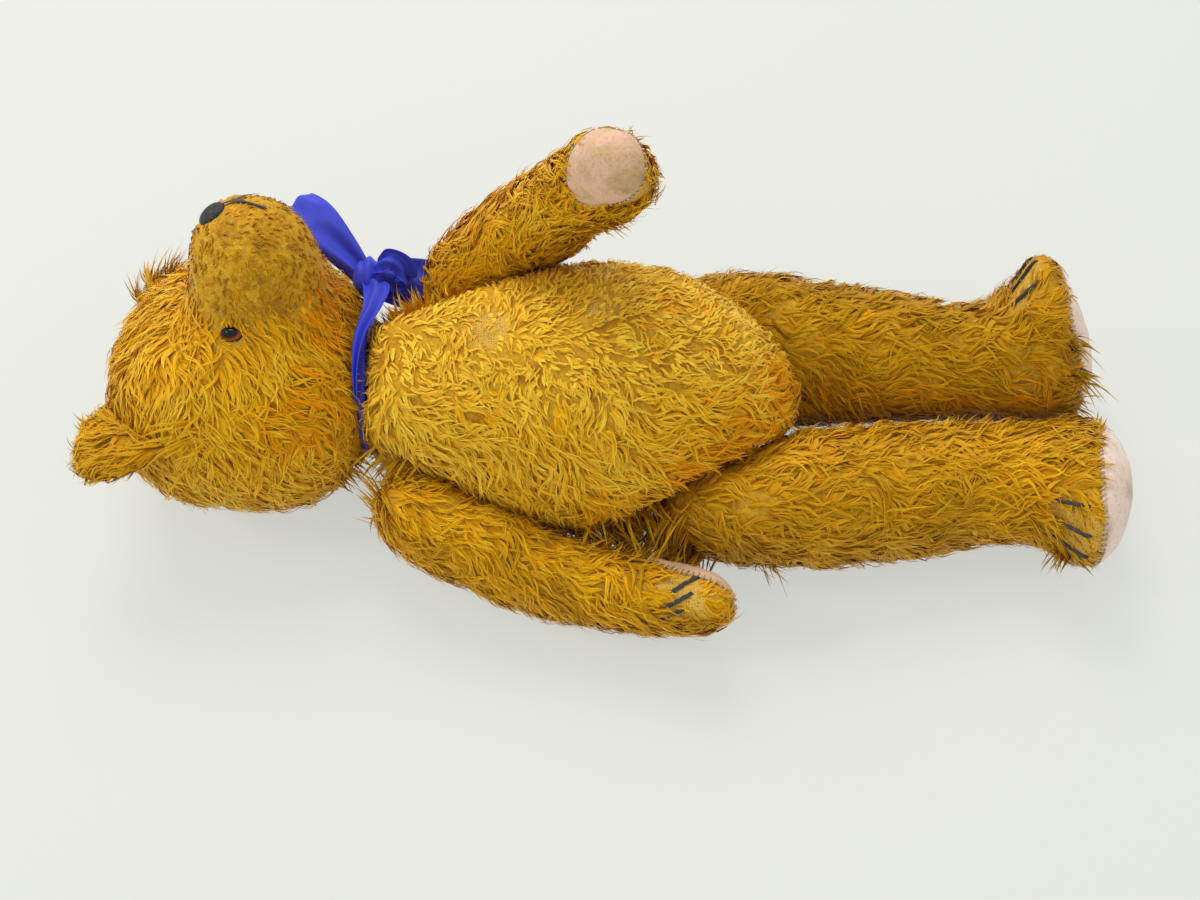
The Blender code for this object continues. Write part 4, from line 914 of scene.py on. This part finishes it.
def blades(line, lineNormal, layer, coat, length, tone, clear):
    # the blades of every lock, each a tapering strip, as points, normals and map
    count, perLock, segments = len(line), layer["blades"], line.shape[1] - 1
    t = np.linspace(0, 1, segments + 1)
    total = count * perLock
    owner = np.repeat(np.arange(count), perLock)
    reach = rng.uniform(*strand["reaches"], total) * layer["reach"]
    along = t[None, :] * reach[:, None] * segments
    low = np.minimum(along.astype(int), segments - 1)
    part, rows = (along - low)[:, :, None], owner[:, None]
    path = line[rows, low] * (1 - part) + line[rows, low + 1] * part
    normal = unit(lineNormal[rows, low] * (1 - part) + lineNormal[rows, low + 1] * part)
    across = unit(np.cross(normal, unit(np.gradient(path, axis=1))))

    # lifted off the skin, fanned out from the lock's line and rippled
    size = np.clip(length[owner] / (coat["length"] * mm), *strand["sizes"])
    rise = coat["rise"] * layer["rise"] * mm * rng.uniform(*strand["rises"], count)[owner] * size
    rise = np.minimum(rise, strand["ofRoom"] * clear[owner] + strand["under"])
    wave = rng.uniform(*strand["turn"], count)[owner]
    arch = np.sin(np.clip(t * strand["arch"], 0, 1) * math.pi / 2)
    mean, swing, waves = strand["wave"]
    lift = arch[None, :] * (mean + swing * np.sin(wave[:, None] + t * waves))
    spread = rng.normal(0, layer["spread"] * mm, (total, 2))
    spread = spread * np.clip(size, *strand["fanned"])[:, None]
    phase, speed = rng.uniform(*strand["turn"], total), rng.uniform(*strand["ripples"], total)
    ripple = strand["ripple"] * np.sin(phase[:, None] + t * speed[:, None]) * t
    aside = spread[:, :1] * (1 - strand["closing"] * t)[None, :] + ripple * size[:, None]
    up = rise[:, None] * lift + np.abs(spread[:, 1:]) * strand["standing"] * t
    up = up - strand["rooted"] * (t[None, :] == 0)
    path = path + across * aside[:, :, None] + normal * up[:, :, None]
    path = np.clip(path, np.array(cadBounds[0]) - room["out"], np.array(cadBounds[1]) + room["out"])
    path[:, :, 2] = np.maximum(path[:, :, 2], strand["lowest"])

    # widened to a strip, turned a little about its line
    going = unit(np.gradient(path, axis=1))
    across = unit(np.cross(normal, going))
    roll = rng.normal(0, layer["roll"], total)[:, None, None]
    flat = across * np.cos(roll) + normal * np.sin(roll)
    width = layer["width"] * mm * rng.uniform(*strand["widths"], total)[:, None]
    width = width * np.array(strand["taper"])[None, :] * np.clip(size, *strand["widened"])[:, None]
    left, right = path - flat * width[:, :, None] / 2, path + flat * width[:, :, None] / 2
    for side in (left, right):
        side[:, :, 2] = np.maximum(side[:, :, 2], aboveFloor)
    pairs = np.stack([left[:, :-1], right[:, :-1]], 2).reshape(total, -1, 3)
    points = np.concatenate([pairs, path[:, -1:]], 1)

    # lit as a rounded lock that follows the skin, and mapped by its tone and from root to tip
    soft = unit(np.cross(going, flat)) * strand["facing"][0] + normal * strand["facing"][1]
    edges = [unit(soft - flat * strand["rounded"]), unit(soft + flat * strand["rounded"])]
    rounded = np.stack(edges, 2)[:, :-1].reshape(total, -1, 3)
    normals = np.concatenate([rounded, unit(soft[:, -1:])], 1)
    column = tone[owner] + layer["tone"] + rng.normal(0, strand["toneSpread"], total)
    margin = strand["mapMargin"]
    column = np.clip(column, margin, 1 - margin)
    sides = np.concatenate([np.tile((-1.0, 1.0), segments), (0.0,)]) * layer["column"]
    heights = np.concatenate([np.repeat(t[:-1], 2), t[-1:]]) * (1 - 2 * margin) + margin
    columns = np.clip(column[:, None] + sides, 0.001, 0.999)
    return points, normals, np.stack([columns, np.tile(heights, (total, 1))], 2)


swirls = {  # how the locks turn from the nap: how much, how large in mm, seed
    "nap": [(0.9, 38, 14), (0.6, 15, 17)], "napSpread": 0.16, "bend": (1.3, 14, 23), "bendSpread": 0.3,
    "winding": (0.6, 1.3), "eased": 1.4, "phase": (5, 18, 27), "phaseSpread": 0.5, "off": 0.25,
    "tried": 1.6,  # roots tried for each one wanted
}


def growPile(node, wanted, kinds, segments=5):
    coat = coats[node]
    spot, facing = scatter(node, int(wanted * swirls["tried"]))
    keep, length, nap, tone, free = plan(node, spot, facing)
    good = rng.random(len(spot)) < keep
    for joint in joints.values():
        if node == "torso" or joint["child"] == skins[node]["body"]:
            good &= ~hiddenAt(spot, joint)
    clear = np.full(len(spot), room["far"])
    for other in neighbours[node]:
        clear = np.minimum(clear, distances(spot, trees[other]))
    good &= (clear > room["apart"]) & (spot[:, 2] > room["aboveFloor"])
    spot, facing, length, nap, tone, clear, free = (
        a[good][:wanted] for a in (spot, facing, length, nap, tone, clear, free)
    )
    count = len(spot)

    # each lock's line, laid over the skin step by step, or leaving it where it flies free
    turned = noisy(spot, *swirls["nap"][0]) + noisy(spot, *swirls["nap"][1])
    turned = (turned + rng.normal(0, swirls["napSpread"], count))[:, None]
    heading = unit(nap - facing * np.sum(nap * facing, axis=1, keepdims=True))
    heading = heading * np.cos(turned) + np.cross(facing, heading) * np.sin(turned)
    first = heading.copy()
    bend = noisy(spot, *swirls["bend"]) + rng.normal(0, swirls["bendSpread"], count)
    wind = coat["curl"] * rng.uniform(*swirls["winding"], count)
    phase = noisy(spot, *swirls["phase"]) + rng.normal(0, swirls["phaseSpread"], count)
    line, lineNormal = [spot], [facing]
    here, up = spot.copy(), facing.copy()
    for k in range(segments):
        winding = wind * np.sin(phase + 2 * math.pi * (k + 0.5) / segments)
        turn = bend / segments + winding / swirls["eased"]
        across = np.cross(up, heading)
        heading = unit(heading * np.cos(turn)[:, None] + across * np.sin(turn)[:, None])
        ahead = here + heading * (length / segments)[:, None]
        found = [trees[node].find_nearest(Vector(p)) for p in ahead]
        here = np.array([f[0] for f in found])
        up = np.array([f[1] for f in found])
        heading = unit(heading - up * np.sum(heading * up, axis=1, keepdims=True))
        away = free[:, None] * ((k + 1) / segments)
        gone = (length * (k + 1) / segments)[:, None]
        straight = spot + (first + swirls["off"] * facing) * gone
        line.append(here * (1 - away) + straight * away)
        lineNormal.append(up)
    line, lineNormal = np.stack(line, 1), np.stack(lineNormal, 1)
    return [blades(line, lineNormal, layers[kind], coat, length, tone, clear) for kind in kinds]


wisps = {  # strands for each lock of a tuft, and how much their way, bend, length and tone vary
    "strands": 3, "rooted": 0.5 * mm, "way": 0.22, "bend": 0.25, "bends": (0.8, 2.0),
    "lengths": (0.5, 1.05), "rise": 0.6, "tone": (-0.02, 0.05),
}


def growTufts(node, segments=5):
    lines, normals, lengths = [], [], []
    t = np.linspace(0, 1, segments + 1)[:, None]
    for root, direction, bend, size, locks, apart in tufts.get(node, []):
        for _ in range(locks * wisps["strands"]):
            near = Vector(np.array(root) + rng.normal(0, apart * mm, 3))
            spot, facing = (np.array(v) for v in trees[node].find_nearest(near)[:2])
            start = spot - facing * wisps["rooted"]
            way = unit(np.array(direction) + rng.normal(0, wisps["way"], 3))
            curve = (np.array(bend) + rng.normal(0, wisps["bend"], 3)) * rng.uniform(*wisps["bends"])
            reach = size * mm * rng.uniform(*wisps["lengths"])
            lines.append(start + (way * t + curve * 0.5 * t**2) * reach)
            normals.append(np.tile(facing, (segments + 1, 1)))
            lengths.append(reach)
    if not lines:
        return []
    line, lineNormal, length = np.array(lines), np.array(normals), np.array(lengths)
    tone, coat = coats[node]["tone"] + rng.normal(*wisps["tone"], len(line)), dict(coats[node])
    coat["rise"], clear = wisps["rise"], np.full(len(line), room["far"])
    kinds = ("lock", "hair")
    return [blades(line, lineNormal, layers[kind], coat, length, tone, clear) for kind in kinds]


def pilePiece(name, node, points, normals, uv):
    total, perBlade = points.shape[:2]
    segments = (perBlade - 1) // 2
    quads = [(2 * k + 1, 2 * k, 2 * k + 2, 2 * k + 3) for k in range(segments - 1)]
    tip = (2 * segments - 1, 2 * segments - 2, 2 * segments)
    corners = np.array([corner for face in (*quads, tip) for corner in face])
    sizes = np.tile(np.array([4] * (segments - 1) + [3]), total)
    loops = (np.arange(total)[:, None] * perBlade + corners[None, :]).ravel()
    mesh = bpy.data.meshes.new(name)
    mesh.vertices.add(total * perBlade)
    mesh.vertices.foreach_set("co", points.reshape(-1).astype(np.float32))
    mesh.loops.add(len(loops))
    mesh.loops.foreach_set("vertex_index", loops.astype(np.int32))
    mesh.polygons.add(len(sizes))
    mesh.polygons.foreach_set("loop_start", (np.cumsum(sizes) - sizes).astype(np.int32))
    mesh.update(calc_edges=True)
    layer = mesh.uv_layers.new(name="OFBake")
    layer.data.foreach_set("uv", uv[:, corners].ravel().astype(np.float32))
    newPiece(name, mesh, skins[node]["body"], pileMaterial)
    mesh.normals_split_custom_set_from_vertices(normals.reshape(-1, 3).tolist())
    print(name, total, "blades,", total * (2 * segments - 1), "triangles")


for node, coat in coats.items():
    grown = growPile(node, coat["mats"], ["mat"])
    grown += growPile(node, coat["locks"], ["lock", "hair"])
    grown += growTufts(node)
    points, normals, uv = (np.concatenate(parts) for parts in zip(*grown))
    name = camel(node) + "Pile"
    if node in twoPieces:
        heights = points[:, 0, 2]
        upper = heights > np.median(heights)
        pilePiece(name + "Front", node, points[upper], normals[upper], uv[upper])
        pilePiece(name + "Back", node, points[~upper], normals[~upper], uv[~upper])
    else:
        pilePiece(name, node, points, normals, uv)
print("pile grown")


# Glass eyes, sunk in the pile. narrow is how much of their height the cloth leaves open.
glass = {
    "around": 32, "rings": 10, "behind": 0.6 * mm, "sunk": 0.9 * mm, "narrow": 0.66, "back": 0.96,
    "rim": 0.97, "tip": 0.02 * mm,
}


def eyeShape(node):  # the solid's middle, its axis away from the skull, its radius, rim and top
    points = cadPoints(node)
    centre = points.mean(0)
    spreads, axes = np.linalg.eigh(np.cov((points - centre).T))
    axis = axes[:, 0] if spreads[2] - spreads[1] < spreads[1] - spreads[0] else axes[:, 2]
    axis = axis * np.sign(axis @ (centre - np.array(skullAt)))
    along = (points - centre) @ axis
    out = np.linalg.norm(points - centre - along[:, None] * axis, axis=1)
    rim = along[out > glass["rim"] * out.max()].min()
    return centre, axis, out.max(), rim, along.max()


for node in ("left_eye", "right_eye"):
    centre, axis, radius, rim, top = eyeShape(node)
    first = unit(np.array((1.0, 0.0, 0.0)) - axis * axis[0])
    second = np.cross(axis, first) * glass["narrow"]
    rows = [(radius * glass["back"], rim - glass["behind"])]
    for k in range(glass["rings"] + 1):
        a = math.pi / 2 * k / glass["rings"]
        rows.append((max(radius * math.cos(a), glass["tip"]), rim + (top - rim) * math.sin(a)))
    spots, faces, heights, around = [], [], [], glass["around"]
    for r, z in rows:
        for k in range(around):
            a = 2 * math.pi * k / around
            spoke = first * math.cos(a) + second * math.sin(a)
            spots.append(centre + axis * (z - glass["sunk"]) + spoke * r)
            heights.append((k / around, min(r / radius, 0.99)))
    for i in range(len(rows) - 1):
        for k in range(around):
            a, b = i * around + k, i * around + (k + 1) % around
            faces.append((a, b, b + around, a + around))
    mesh = newMesh(camel(node) + "Glass", spots, faces)
    layer = mesh.uv_layers.new(name="OFBake")
    for loop in mesh.loops:
        layer.data[loop.index].uv = heights[loop.vertex_index]
    piece = newPiece(camel(node) + "Glass", mesh, "head", eyeMaterial)
    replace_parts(piece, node)
print("eyes set")


def spine(points, count=12):  # the curved middle line of a long thin solid
    centre, axes = mainAxes(points)
    along = (points - centre) @ axes[0]
    rows = []
    for at in np.linspace(along.min(), along.max(), count):
        near = np.exp(-(((along - at) / (2.5 * mm)) ** 2))
        spot = (points * near[:, None]).sum(0) / near.sum()
        rows.append(spot + axes[0] * (at - (spot - centre) @ axes[0]))
    return np.array(rows)


# Claws: straight stitches of four-ply floss, each ply wound slowly round the others.
floss = {
    "plies": 4, "ply": 0.52 * mm, "off": 0.45 * mm, "wide": 1.25, "high": 0.7, "turns": 1.3,
    "dip": 2.0 * mm, "above": 1.0 * mm,
}
for side in ("left", "right"):
    for limb, word in (("arm", "paw"), ("leg", "foot")):
        shape = ([], [])
        claws = sorted(n for n in nodes if n.startswith(f"{side}_{word}_claw"))
        tree = trees[f"{side}_{limb}"]
        for node in claws:
            found = [tree.find_nearest(Vector(p)) for p in spine(cadPoints(node))]
            out = unit(np.array([f[1] for f in found]))
            t = np.linspace(0, 1, len(out))
            line = np.array([f[0] for f in found]) + out * floss["above"]
            line = line - out * (floss["dip"] * (np.abs(2 * t - 1) ** 6))[:, None]
            sideways = np.cross(unit(np.gradient(line, axis=0)), out)
            for ply in range(floss["plies"]):
                a = 2 * math.pi * (ply / floss["plies"] + floss["turns"] * t + rng.random() * 0.05)
                aside, up = np.cos(a)[:, None], np.sin(a)[:, None]
                wound = sideways * aside * floss["wide"] + out * up * floss["high"]
                addTube(shape, line + wound * floss["off"], floss["ply"])
        name = side + word.capitalize() + "Claws"
        piece = newPiece(name, newMesh(name, *shape), f"{side}_{limb}", threadMaterial)
        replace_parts(piece, *claws)

# Nose: upright satin stitches side by side over a small pad of stuffing.
nose = {
    "thread": 0.46 * mm, "apart": 0.72 * mm, "low": 0.5 * mm, "high": 1.6 * mm, "rooted": 1.4 * mm,
    "size": (0.74, 1.08), "points": 13, "uneven": (0.97, 1.03), "least": 0.04,
}
outline = cadPoints("nose")
centre, axes = mainAxes(outline)
halfLong, halfShort = (np.abs((outline - centre) @ axes[k]).max() * nose["size"][k] for k in (0, 1))
shape = ([], [])
for offset in np.arange(-halfLong, halfLong, nose["apart"]):
    half = halfShort * math.sqrt(max(1 - (offset / halfLong) ** 2, nose["least"]))
    half = half * rng.uniform(*nose["uneven"])
    path = []
    for across in np.linspace(-half, half, nose["points"]):
        flat = centre + axes[0] * offset + axes[1] * across
        spot, up = (np.array(v) for v in trees["head"].find_nearest(Vector(flat))[:2])
        edge = max(1 - (offset / halfLong) ** 2 - (across / halfShort) ** 2, 0)
        path.append(spot + up * (nose["low"] + nose["high"] * math.sqrt(edge)))
    inward = unit(np.array(path[0]) - np.array(skullAt)) * nose["rooted"]
    addTube(shape, [path[0] - inward, *path, path[-1] - inward], nose["thread"])
piece = newPiece("noseStitching", newMesh("noseStitching", *shape), "head", threadMaterial)
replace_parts(piece, "nose")

# Mouth: long back stitches, rounded and sunk a little in the worn muzzle, the fork drawn up to the nose.
mouth = {
    "turned": 24, "sunk": 0.9 * mm, "pulled": 6.5 * mm, "half": 10 * mm, "deepest": -0.6 * mm,
    "highest": 1.2 * mm, "smoothed": 3,
}
shape = bmesh.new()
shape.from_mesh(nodes["mouth_stitch"].data)
bmesh.ops.remove_doubles(shape, verts=shape.verts, dist=0.02 * mm)
bmesh.ops.subdivide_edges(shape, edges=shape.edges[:], cuts=2, use_grid_fill=True)
for _ in range(mouth["smoothed"]):
    bmesh.ops.smooth_vert(
        shape, verts=shape.verts, factor=0.5, use_axis_x=True, use_axis_y=True, use_axis_z=True,
    )
turn = Matrix.Rotation(math.radians(mouth["turned"]), 3, muzzleDir)
fork = middle("mouth_stitch")
for vert in shape.verts:
    sideways = abs((vert.co - fork).dot(muzzleDir.cross(neckAxis).normalized()))
    vert.co += (noseAt - fork).normalized() * mouth["pulled"] * max(0, 1 - sideways / mouth["half"])
    spot = skullAt + turn @ (vert.co - skullAt)
    skin, up = trees["head"].find_nearest(spot)[:2]
    height = (spot - skin).dot(up) - mouth["sunk"]
    vert.co = skin + up * min(max(height, mouth["deepest"]), mouth["highest"])
mesh = bpy.data.meshes.new("mouthStitching")
shape.to_mesh(mesh)
shape.free()
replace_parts(newPiece("mouthStitching", mesh, "head", threadMaterial), "mouth_stitch")
print("nose, mouth and claws stitched")

# Ribbon: a band drawn tight in the neck's crease and tied in a bow at the bear's left, with one long loop,
# one short loop, a curl over the knot and one end. Knots are along the neck and out from it, in mm, and
# round it in degrees from upright; lean is how a strip's width lies along the neck and out from it.
ribbon = {
    "cloth": 22 * mm, "thick": 0.3 * mm, "ahead": Vector((-neckAxis.y, neckAxis.x, 0)), "across": 17,
    "pleats": 1.5, "deep": 1.2, "deepest": 1.6 * mm, "wander": 0.5 * mm,
    "upperLoop": {
        "knots": [
            (-7, 57, 54), (-19, 69, 55), (-33, 82, 56), (-46, 92, 60), (-36, 84, 66), (-20, 68, 66),
            (-8, 53, 62),
        ],
        "widths": [9, 16, 22, 18, 22, 16, 9], "lean": (0.9, 0.45),
    },
    "lowerLoop": {
        "knots": [
            (-4, 56, 52), (4, 56, 54), (14, 56, 57), (26, 54, 61), (16, 50, 66), (4, 50, 62),
            (-4, 50, 56),
        ],
        "widths": [8, 14, 19, 21, 19, 14, 8], "lean": (0.1, 1.0),
    },
    "curl": {
        "knots": [(-3, 55, 50), (1, 61, 48), (7, 64, 46), (13, 61, 48), (14, 55, 51), (9, 52, 52)],
        "widths": [8, 10, 11, 11, 10, 8], "lean": (0.5, 0.9),
    },
    "upperTail": {
        "knots": [(-4, 53, 50), (2, 52, 34), (2, 49, 18), (-2, 45, 0), (-3, 42, -20), (-2, 38, -46)],
        "widths": [8, 13, 11, 7, 4, 1], "lean": (1.0, 0.2),
    },
}


def aboutNeck(x, radius, degrees):
    a = math.radians(degrees)
    out = ribbon["ahead"] * math.sin(a) + Vector((0, 0, math.cos(a)))
    return neck + neckAxis * x * mm + out * radius * mm


def curveThrough(knots, perSpan=10):  # a smooth curve through rows of numbers
    knots = np.array(knots, float).reshape(len(knots), -1)
    before = np.concatenate([2 * knots[:1] - knots[1:2], knots, 2 * knots[-1:] - knots[-2:-1]])
    rows = []
    for i in range(len(knots) - 1):
        a, b, c, d = before[i : i + 4]
        for k in range(perSpan):
            t = k / perSpan
            squared, cubed = 2 * a - 5 * b + 4 * c - d, 3 * b - a - 3 * c + d
            rows.append(0.5 * (2 * b + (c - a) * t + squared * t**2 + cubed * t**3))
    return np.array(rows + [knots[-1]])


def sheetPiece(name, grid, closed=False):  # a strip of ribbon from rows of points, its map in metres
    grid = np.array(grid)
    rows, columns = grid.shape[:2]
    faces = []
    for i in range(rows if closed else rows - 1):
        for k in range(columns - 1):
            j = (i + 1) % rows
            faces.append((i * columns + k, i * columns + k + 1, j * columns + k + 1, j * columns + k))
    mesh = newMesh(name, grid.reshape(-1, 3), faces)
    steps = np.linalg.norm(np.diff(grid[:, columns // 2], axis=0), axis=1)
    length = np.concatenate([[0], np.cumsum(steps)])
    layer = mesh.uv_layers.new(name="lengthways")
    for loop in mesh.loops:
        i, k = divmod(loop.vertex_index, columns)
        layer.data[loop.index].uv = (ribbon["cloth"] * k / (columns - 1), length[i])
    piece = newPiece(name, mesh, "torso", satinMaterial)
    thickened(piece, ribbon["thick"], 0.0)
    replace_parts(piece, "neck_ribbon")


for word in ("upperLoop", "lowerLoop", "curl", "upperTail"):
    strip = ribbon[word]
    line = np.array([aboutNeck(*row) for row in curveThrough(strip["knots"])])
    widths = curveThrough(strip["widths"]).ravel() * mm
    going = unit(np.gradient(line, axis=0))
    grid, s = [], np.linspace(-1, 1, ribbon["across"])
    folds = math.pi * ribbon["pleats"]
    for i, (spot, ahead, width) in enumerate(zip(line, going, widths)):
        radial = Vector(spot) - neck
        radial = (radial - neckAxis * radial.dot(neckAxis)).normalized()
        over = np.array(neckAxis * strip["lean"][0] + radial * strip["lean"][1])
        over = unit(over - ahead * (over @ ahead))
        up = np.cross(ahead, over)
        gather = math.sqrt(max((ribbon["cloth"] / width) ** 2 - 1, 0))
        deep = min(width / (2 * folds) * ribbon["deep"] * gather, ribbon["deepest"])
        wander = ribbon["wander"] * math.sin(i / 9 + len(word))
        pleats = deep * np.sin(folds * s + 0.8 + i / 14) + wander * s**2
        grid.append(spot + over * (width / 2 * s)[:, None] + up * pleats[:, None])
    sheetPiece("ribbon" + word[0].upper() + word[1:], grid)

# the band: two plies of the ribbon crushed together in the crease and drawn in, wider by the knot
band = {
    "section": [  # along the neck and out from it, in mm
        (-0.6, 30.0), (-1.8, 32.5), (-2.4, 35.4), (-1.8, 37.2), (-0.6, 36.6), (0.4, 37.4), (1.6, 37.0),
        (2.1, 35.0), (1.0, 31.6),
    ],
    "around": 96, "bow": 55, "crush": 0.86, "looser": 0.16, "wrinkle": 0.7, "wrinkles": (4, 0.45),
    "slip": 0.6, "bowSlip": 2.6, "sideways": 0.8, "drawnIn": 1.5, "bowDrawnIn": 2.5,
}
grid = []
for i in range(band["around"]):
    degrees = 360 * i / band["around"]
    a, near = math.radians(degrees), math.cos(math.radians(degrees - band["bow"]))
    crush, high = band["crush"] + band["looser"] * near, max(near, 0)
    around, along = band["wrinkles"]
    row = []
    for k, (x, radius) in enumerate(band["section"]):
        place = (math.cos(a) * around, math.sin(a) * around, k * along)
        wrinkle = band["wrinkle"] * noise.noise(Vector(place))
        x = x * crush - band["slip"] - band["bowSlip"] * high + wrinkle * band["sideways"]
        radius = radius + wrinkle - band["drawnIn"] * (1 - near) - band["bowDrawnIn"] * high
        row.append(aboutNeck(x, radius, degrees))
    grid.append(row)
sheetPiece("ribbonBand", grid, closed=True)

# the knot: one turn of ribbon pulled round the loops, with creases along it
knot = {
    "at": (-5, 54, 55), "half": (8.0, 9.0, 10.5), "creases": 4, "deep": 0.75, "around": 40, "across": 24,
    "covers": (0.06, 0.88),  # from where, and how much, of its half turn
}
at, turn = aboutNeck(*knot["at"]), Matrix.Rotation(math.radians(-knot["at"][2]), 3, neckAxis)
basis = Matrix((neckAxis, ribbon["ahead"], Vector((0, 0, 1)))).transposed()
long, wide, high = knot["half"]
grid = []
for i in range(knot["around"]):
    b = 2 * math.pi * i / knot["around"]
    row = []
    for k in range(knot["across"] + 1):
        a = math.pi * (knot["covers"][0] + knot["covers"][1] * k / knot["across"])
        crease = math.cos(a * knot["creases"] * 2 + 0.7 * math.sin(b)) * knot["deep"] * math.sin(a)
        out = math.sin(a) * (1 + crease / wide)
        local = Vector((-math.cos(a) * long, math.sin(b) * wide * out, math.cos(b) * high * out))
        row.append(at + turn @ (basis @ (local * mm)))
    grid.append(row)
sheetPiece("ribbonKnot", grid, closed=True)
print("ribbon tied")

# A pale paper floor under soft light: a large window on the bear's left and a small one beyond its head
# for the glints. The floor and the world look pale to the camera, in gloss and through glass, and keep
# the shadow.
studio = {
    "floor": "#e5e8e2", "floorHalf": 4, "pale": 0.66, "world": 0.72, "sky": "#fbfcff", "seenSky": "#eef0ee",
    "lamp": "#fff9f0", "window": 17.0, "windowAt": (-0.3, 1.0, 1.6), "windowSize": 1.0,
    "glint": 4.5, "glintAt": (-1.3, -0.2, 1.2), "glintSize": 0.3,
}


def paleTo(material, shade, colour, output, strength):  # shows paler to the camera and in reflections
    rays = addNode(material, "ShaderNodeLightPath")
    seen = addNode(
        material, "ShaderNodeMath", {0: rays.outputs["Is Camera Ray"], 1: rays.outputs["Is Glossy Ray"]},
        operation="MAXIMUM",
    )
    seen = addNode(
        material, "ShaderNodeMath", {0: seen.outputs[0], 1: rays.outputs["Is Transmission Ray"]},
        operation="MAXIMUM",
    )
    share = addNode(
        material, "ShaderNodeMath", {0: seen.outputs[0]}, {1: strength}, operation="MULTIPLY",
    )
    glow = addNode(material, colour[0], values={"Color": toLinear(colour[1]), "Strength": 1.0})
    addNode(
        material, "ShaderNodeMixShader", {0: share.outputs[0], 1: shade.outputs[0], 2: glow.outputs[0]},
        into={0: output.inputs["Surface"]},
    )


floorMaterial, shader = newMaterial("paperBackdropMatt", 0.9, 1.45, {
    "Base Color": toLinear(studio["floor"]), "Specular IOR Level": 0.2,
})
surface = floorMaterial.node_tree.nodes["Material Output"]
paleTo(floorMaterial, shader, ("ShaderNodeEmission", studio["floor"]), surface, studio["pale"])
half = studio["floorHalf"]
corners = [(-half, -half, 0), (half, -half, 0), (half, half, 0), (-half, half, 0)]
paper = newMesh("floor", corners, [(0, 1, 2, 3)])
floor = bpy.data.objects.new("floor", paper)
floor.data.materials.append(floorMaterial)
bpy.context.scene.collection.objects.link(floor)

world = bpy.data.worlds.new("softStudio")
bpy.context.scene.world = world
world.use_nodes = True
sky = world.node_tree.nodes["Background"]
sky.inputs["Color"].default_value = toLinear(studio["sky"])
sky.inputs["Strength"].default_value = studio["world"]
surface = world.node_tree.nodes["World Output"]
paleTo(world, sky, ("ShaderNodeBackground", studio["seenSky"]), surface, 1.0)

for name in ("window", "glint"):
    lamp = bpy.data.lights.new(name + "Softbox", "AREA")
    lamp.shape, lamp.size, lamp.energy = "SQUARE", studio[name + "Size"], studio[name]
    lamp.color = toLinear(studio["lamp"])[:3]
    lampPiece = bpy.data.objects.new(name + "Softbox", lamp)
    lampPiece.location = studio[name + "At"]
    lampPiece.rotation_euler = (-Vector(studio[name + "At"])).to_track_quat("-Z", "Y").to_euler()
    bpy.context.scene.collection.objects.link(lampPiece)

view = {"target": (-0.01014, -0.0177, 0.062), "distance": 0.8, "elevation": 57, "lens": 48.96}
camera = bpy.data.objects.new("camera", bpy.data.cameras.new("camera"))
camera.data.lens, camera.data.sensor_width = view["lens"], 36
raised = math.radians(view["elevation"])
back = Vector((0, -math.cos(raised), math.sin(raised)))
camera.location = Vector(view["target"]) + back * view["distance"]
camera.rotation_euler = (math.radians(90 - view["elevation"]), 0, 0)
bpy.context.scene.collection.objects.link(camera)
bpy.context.scene.camera = camera
bpy.context.scene.view_settings.view_transform = "Standard"
print("studio set")
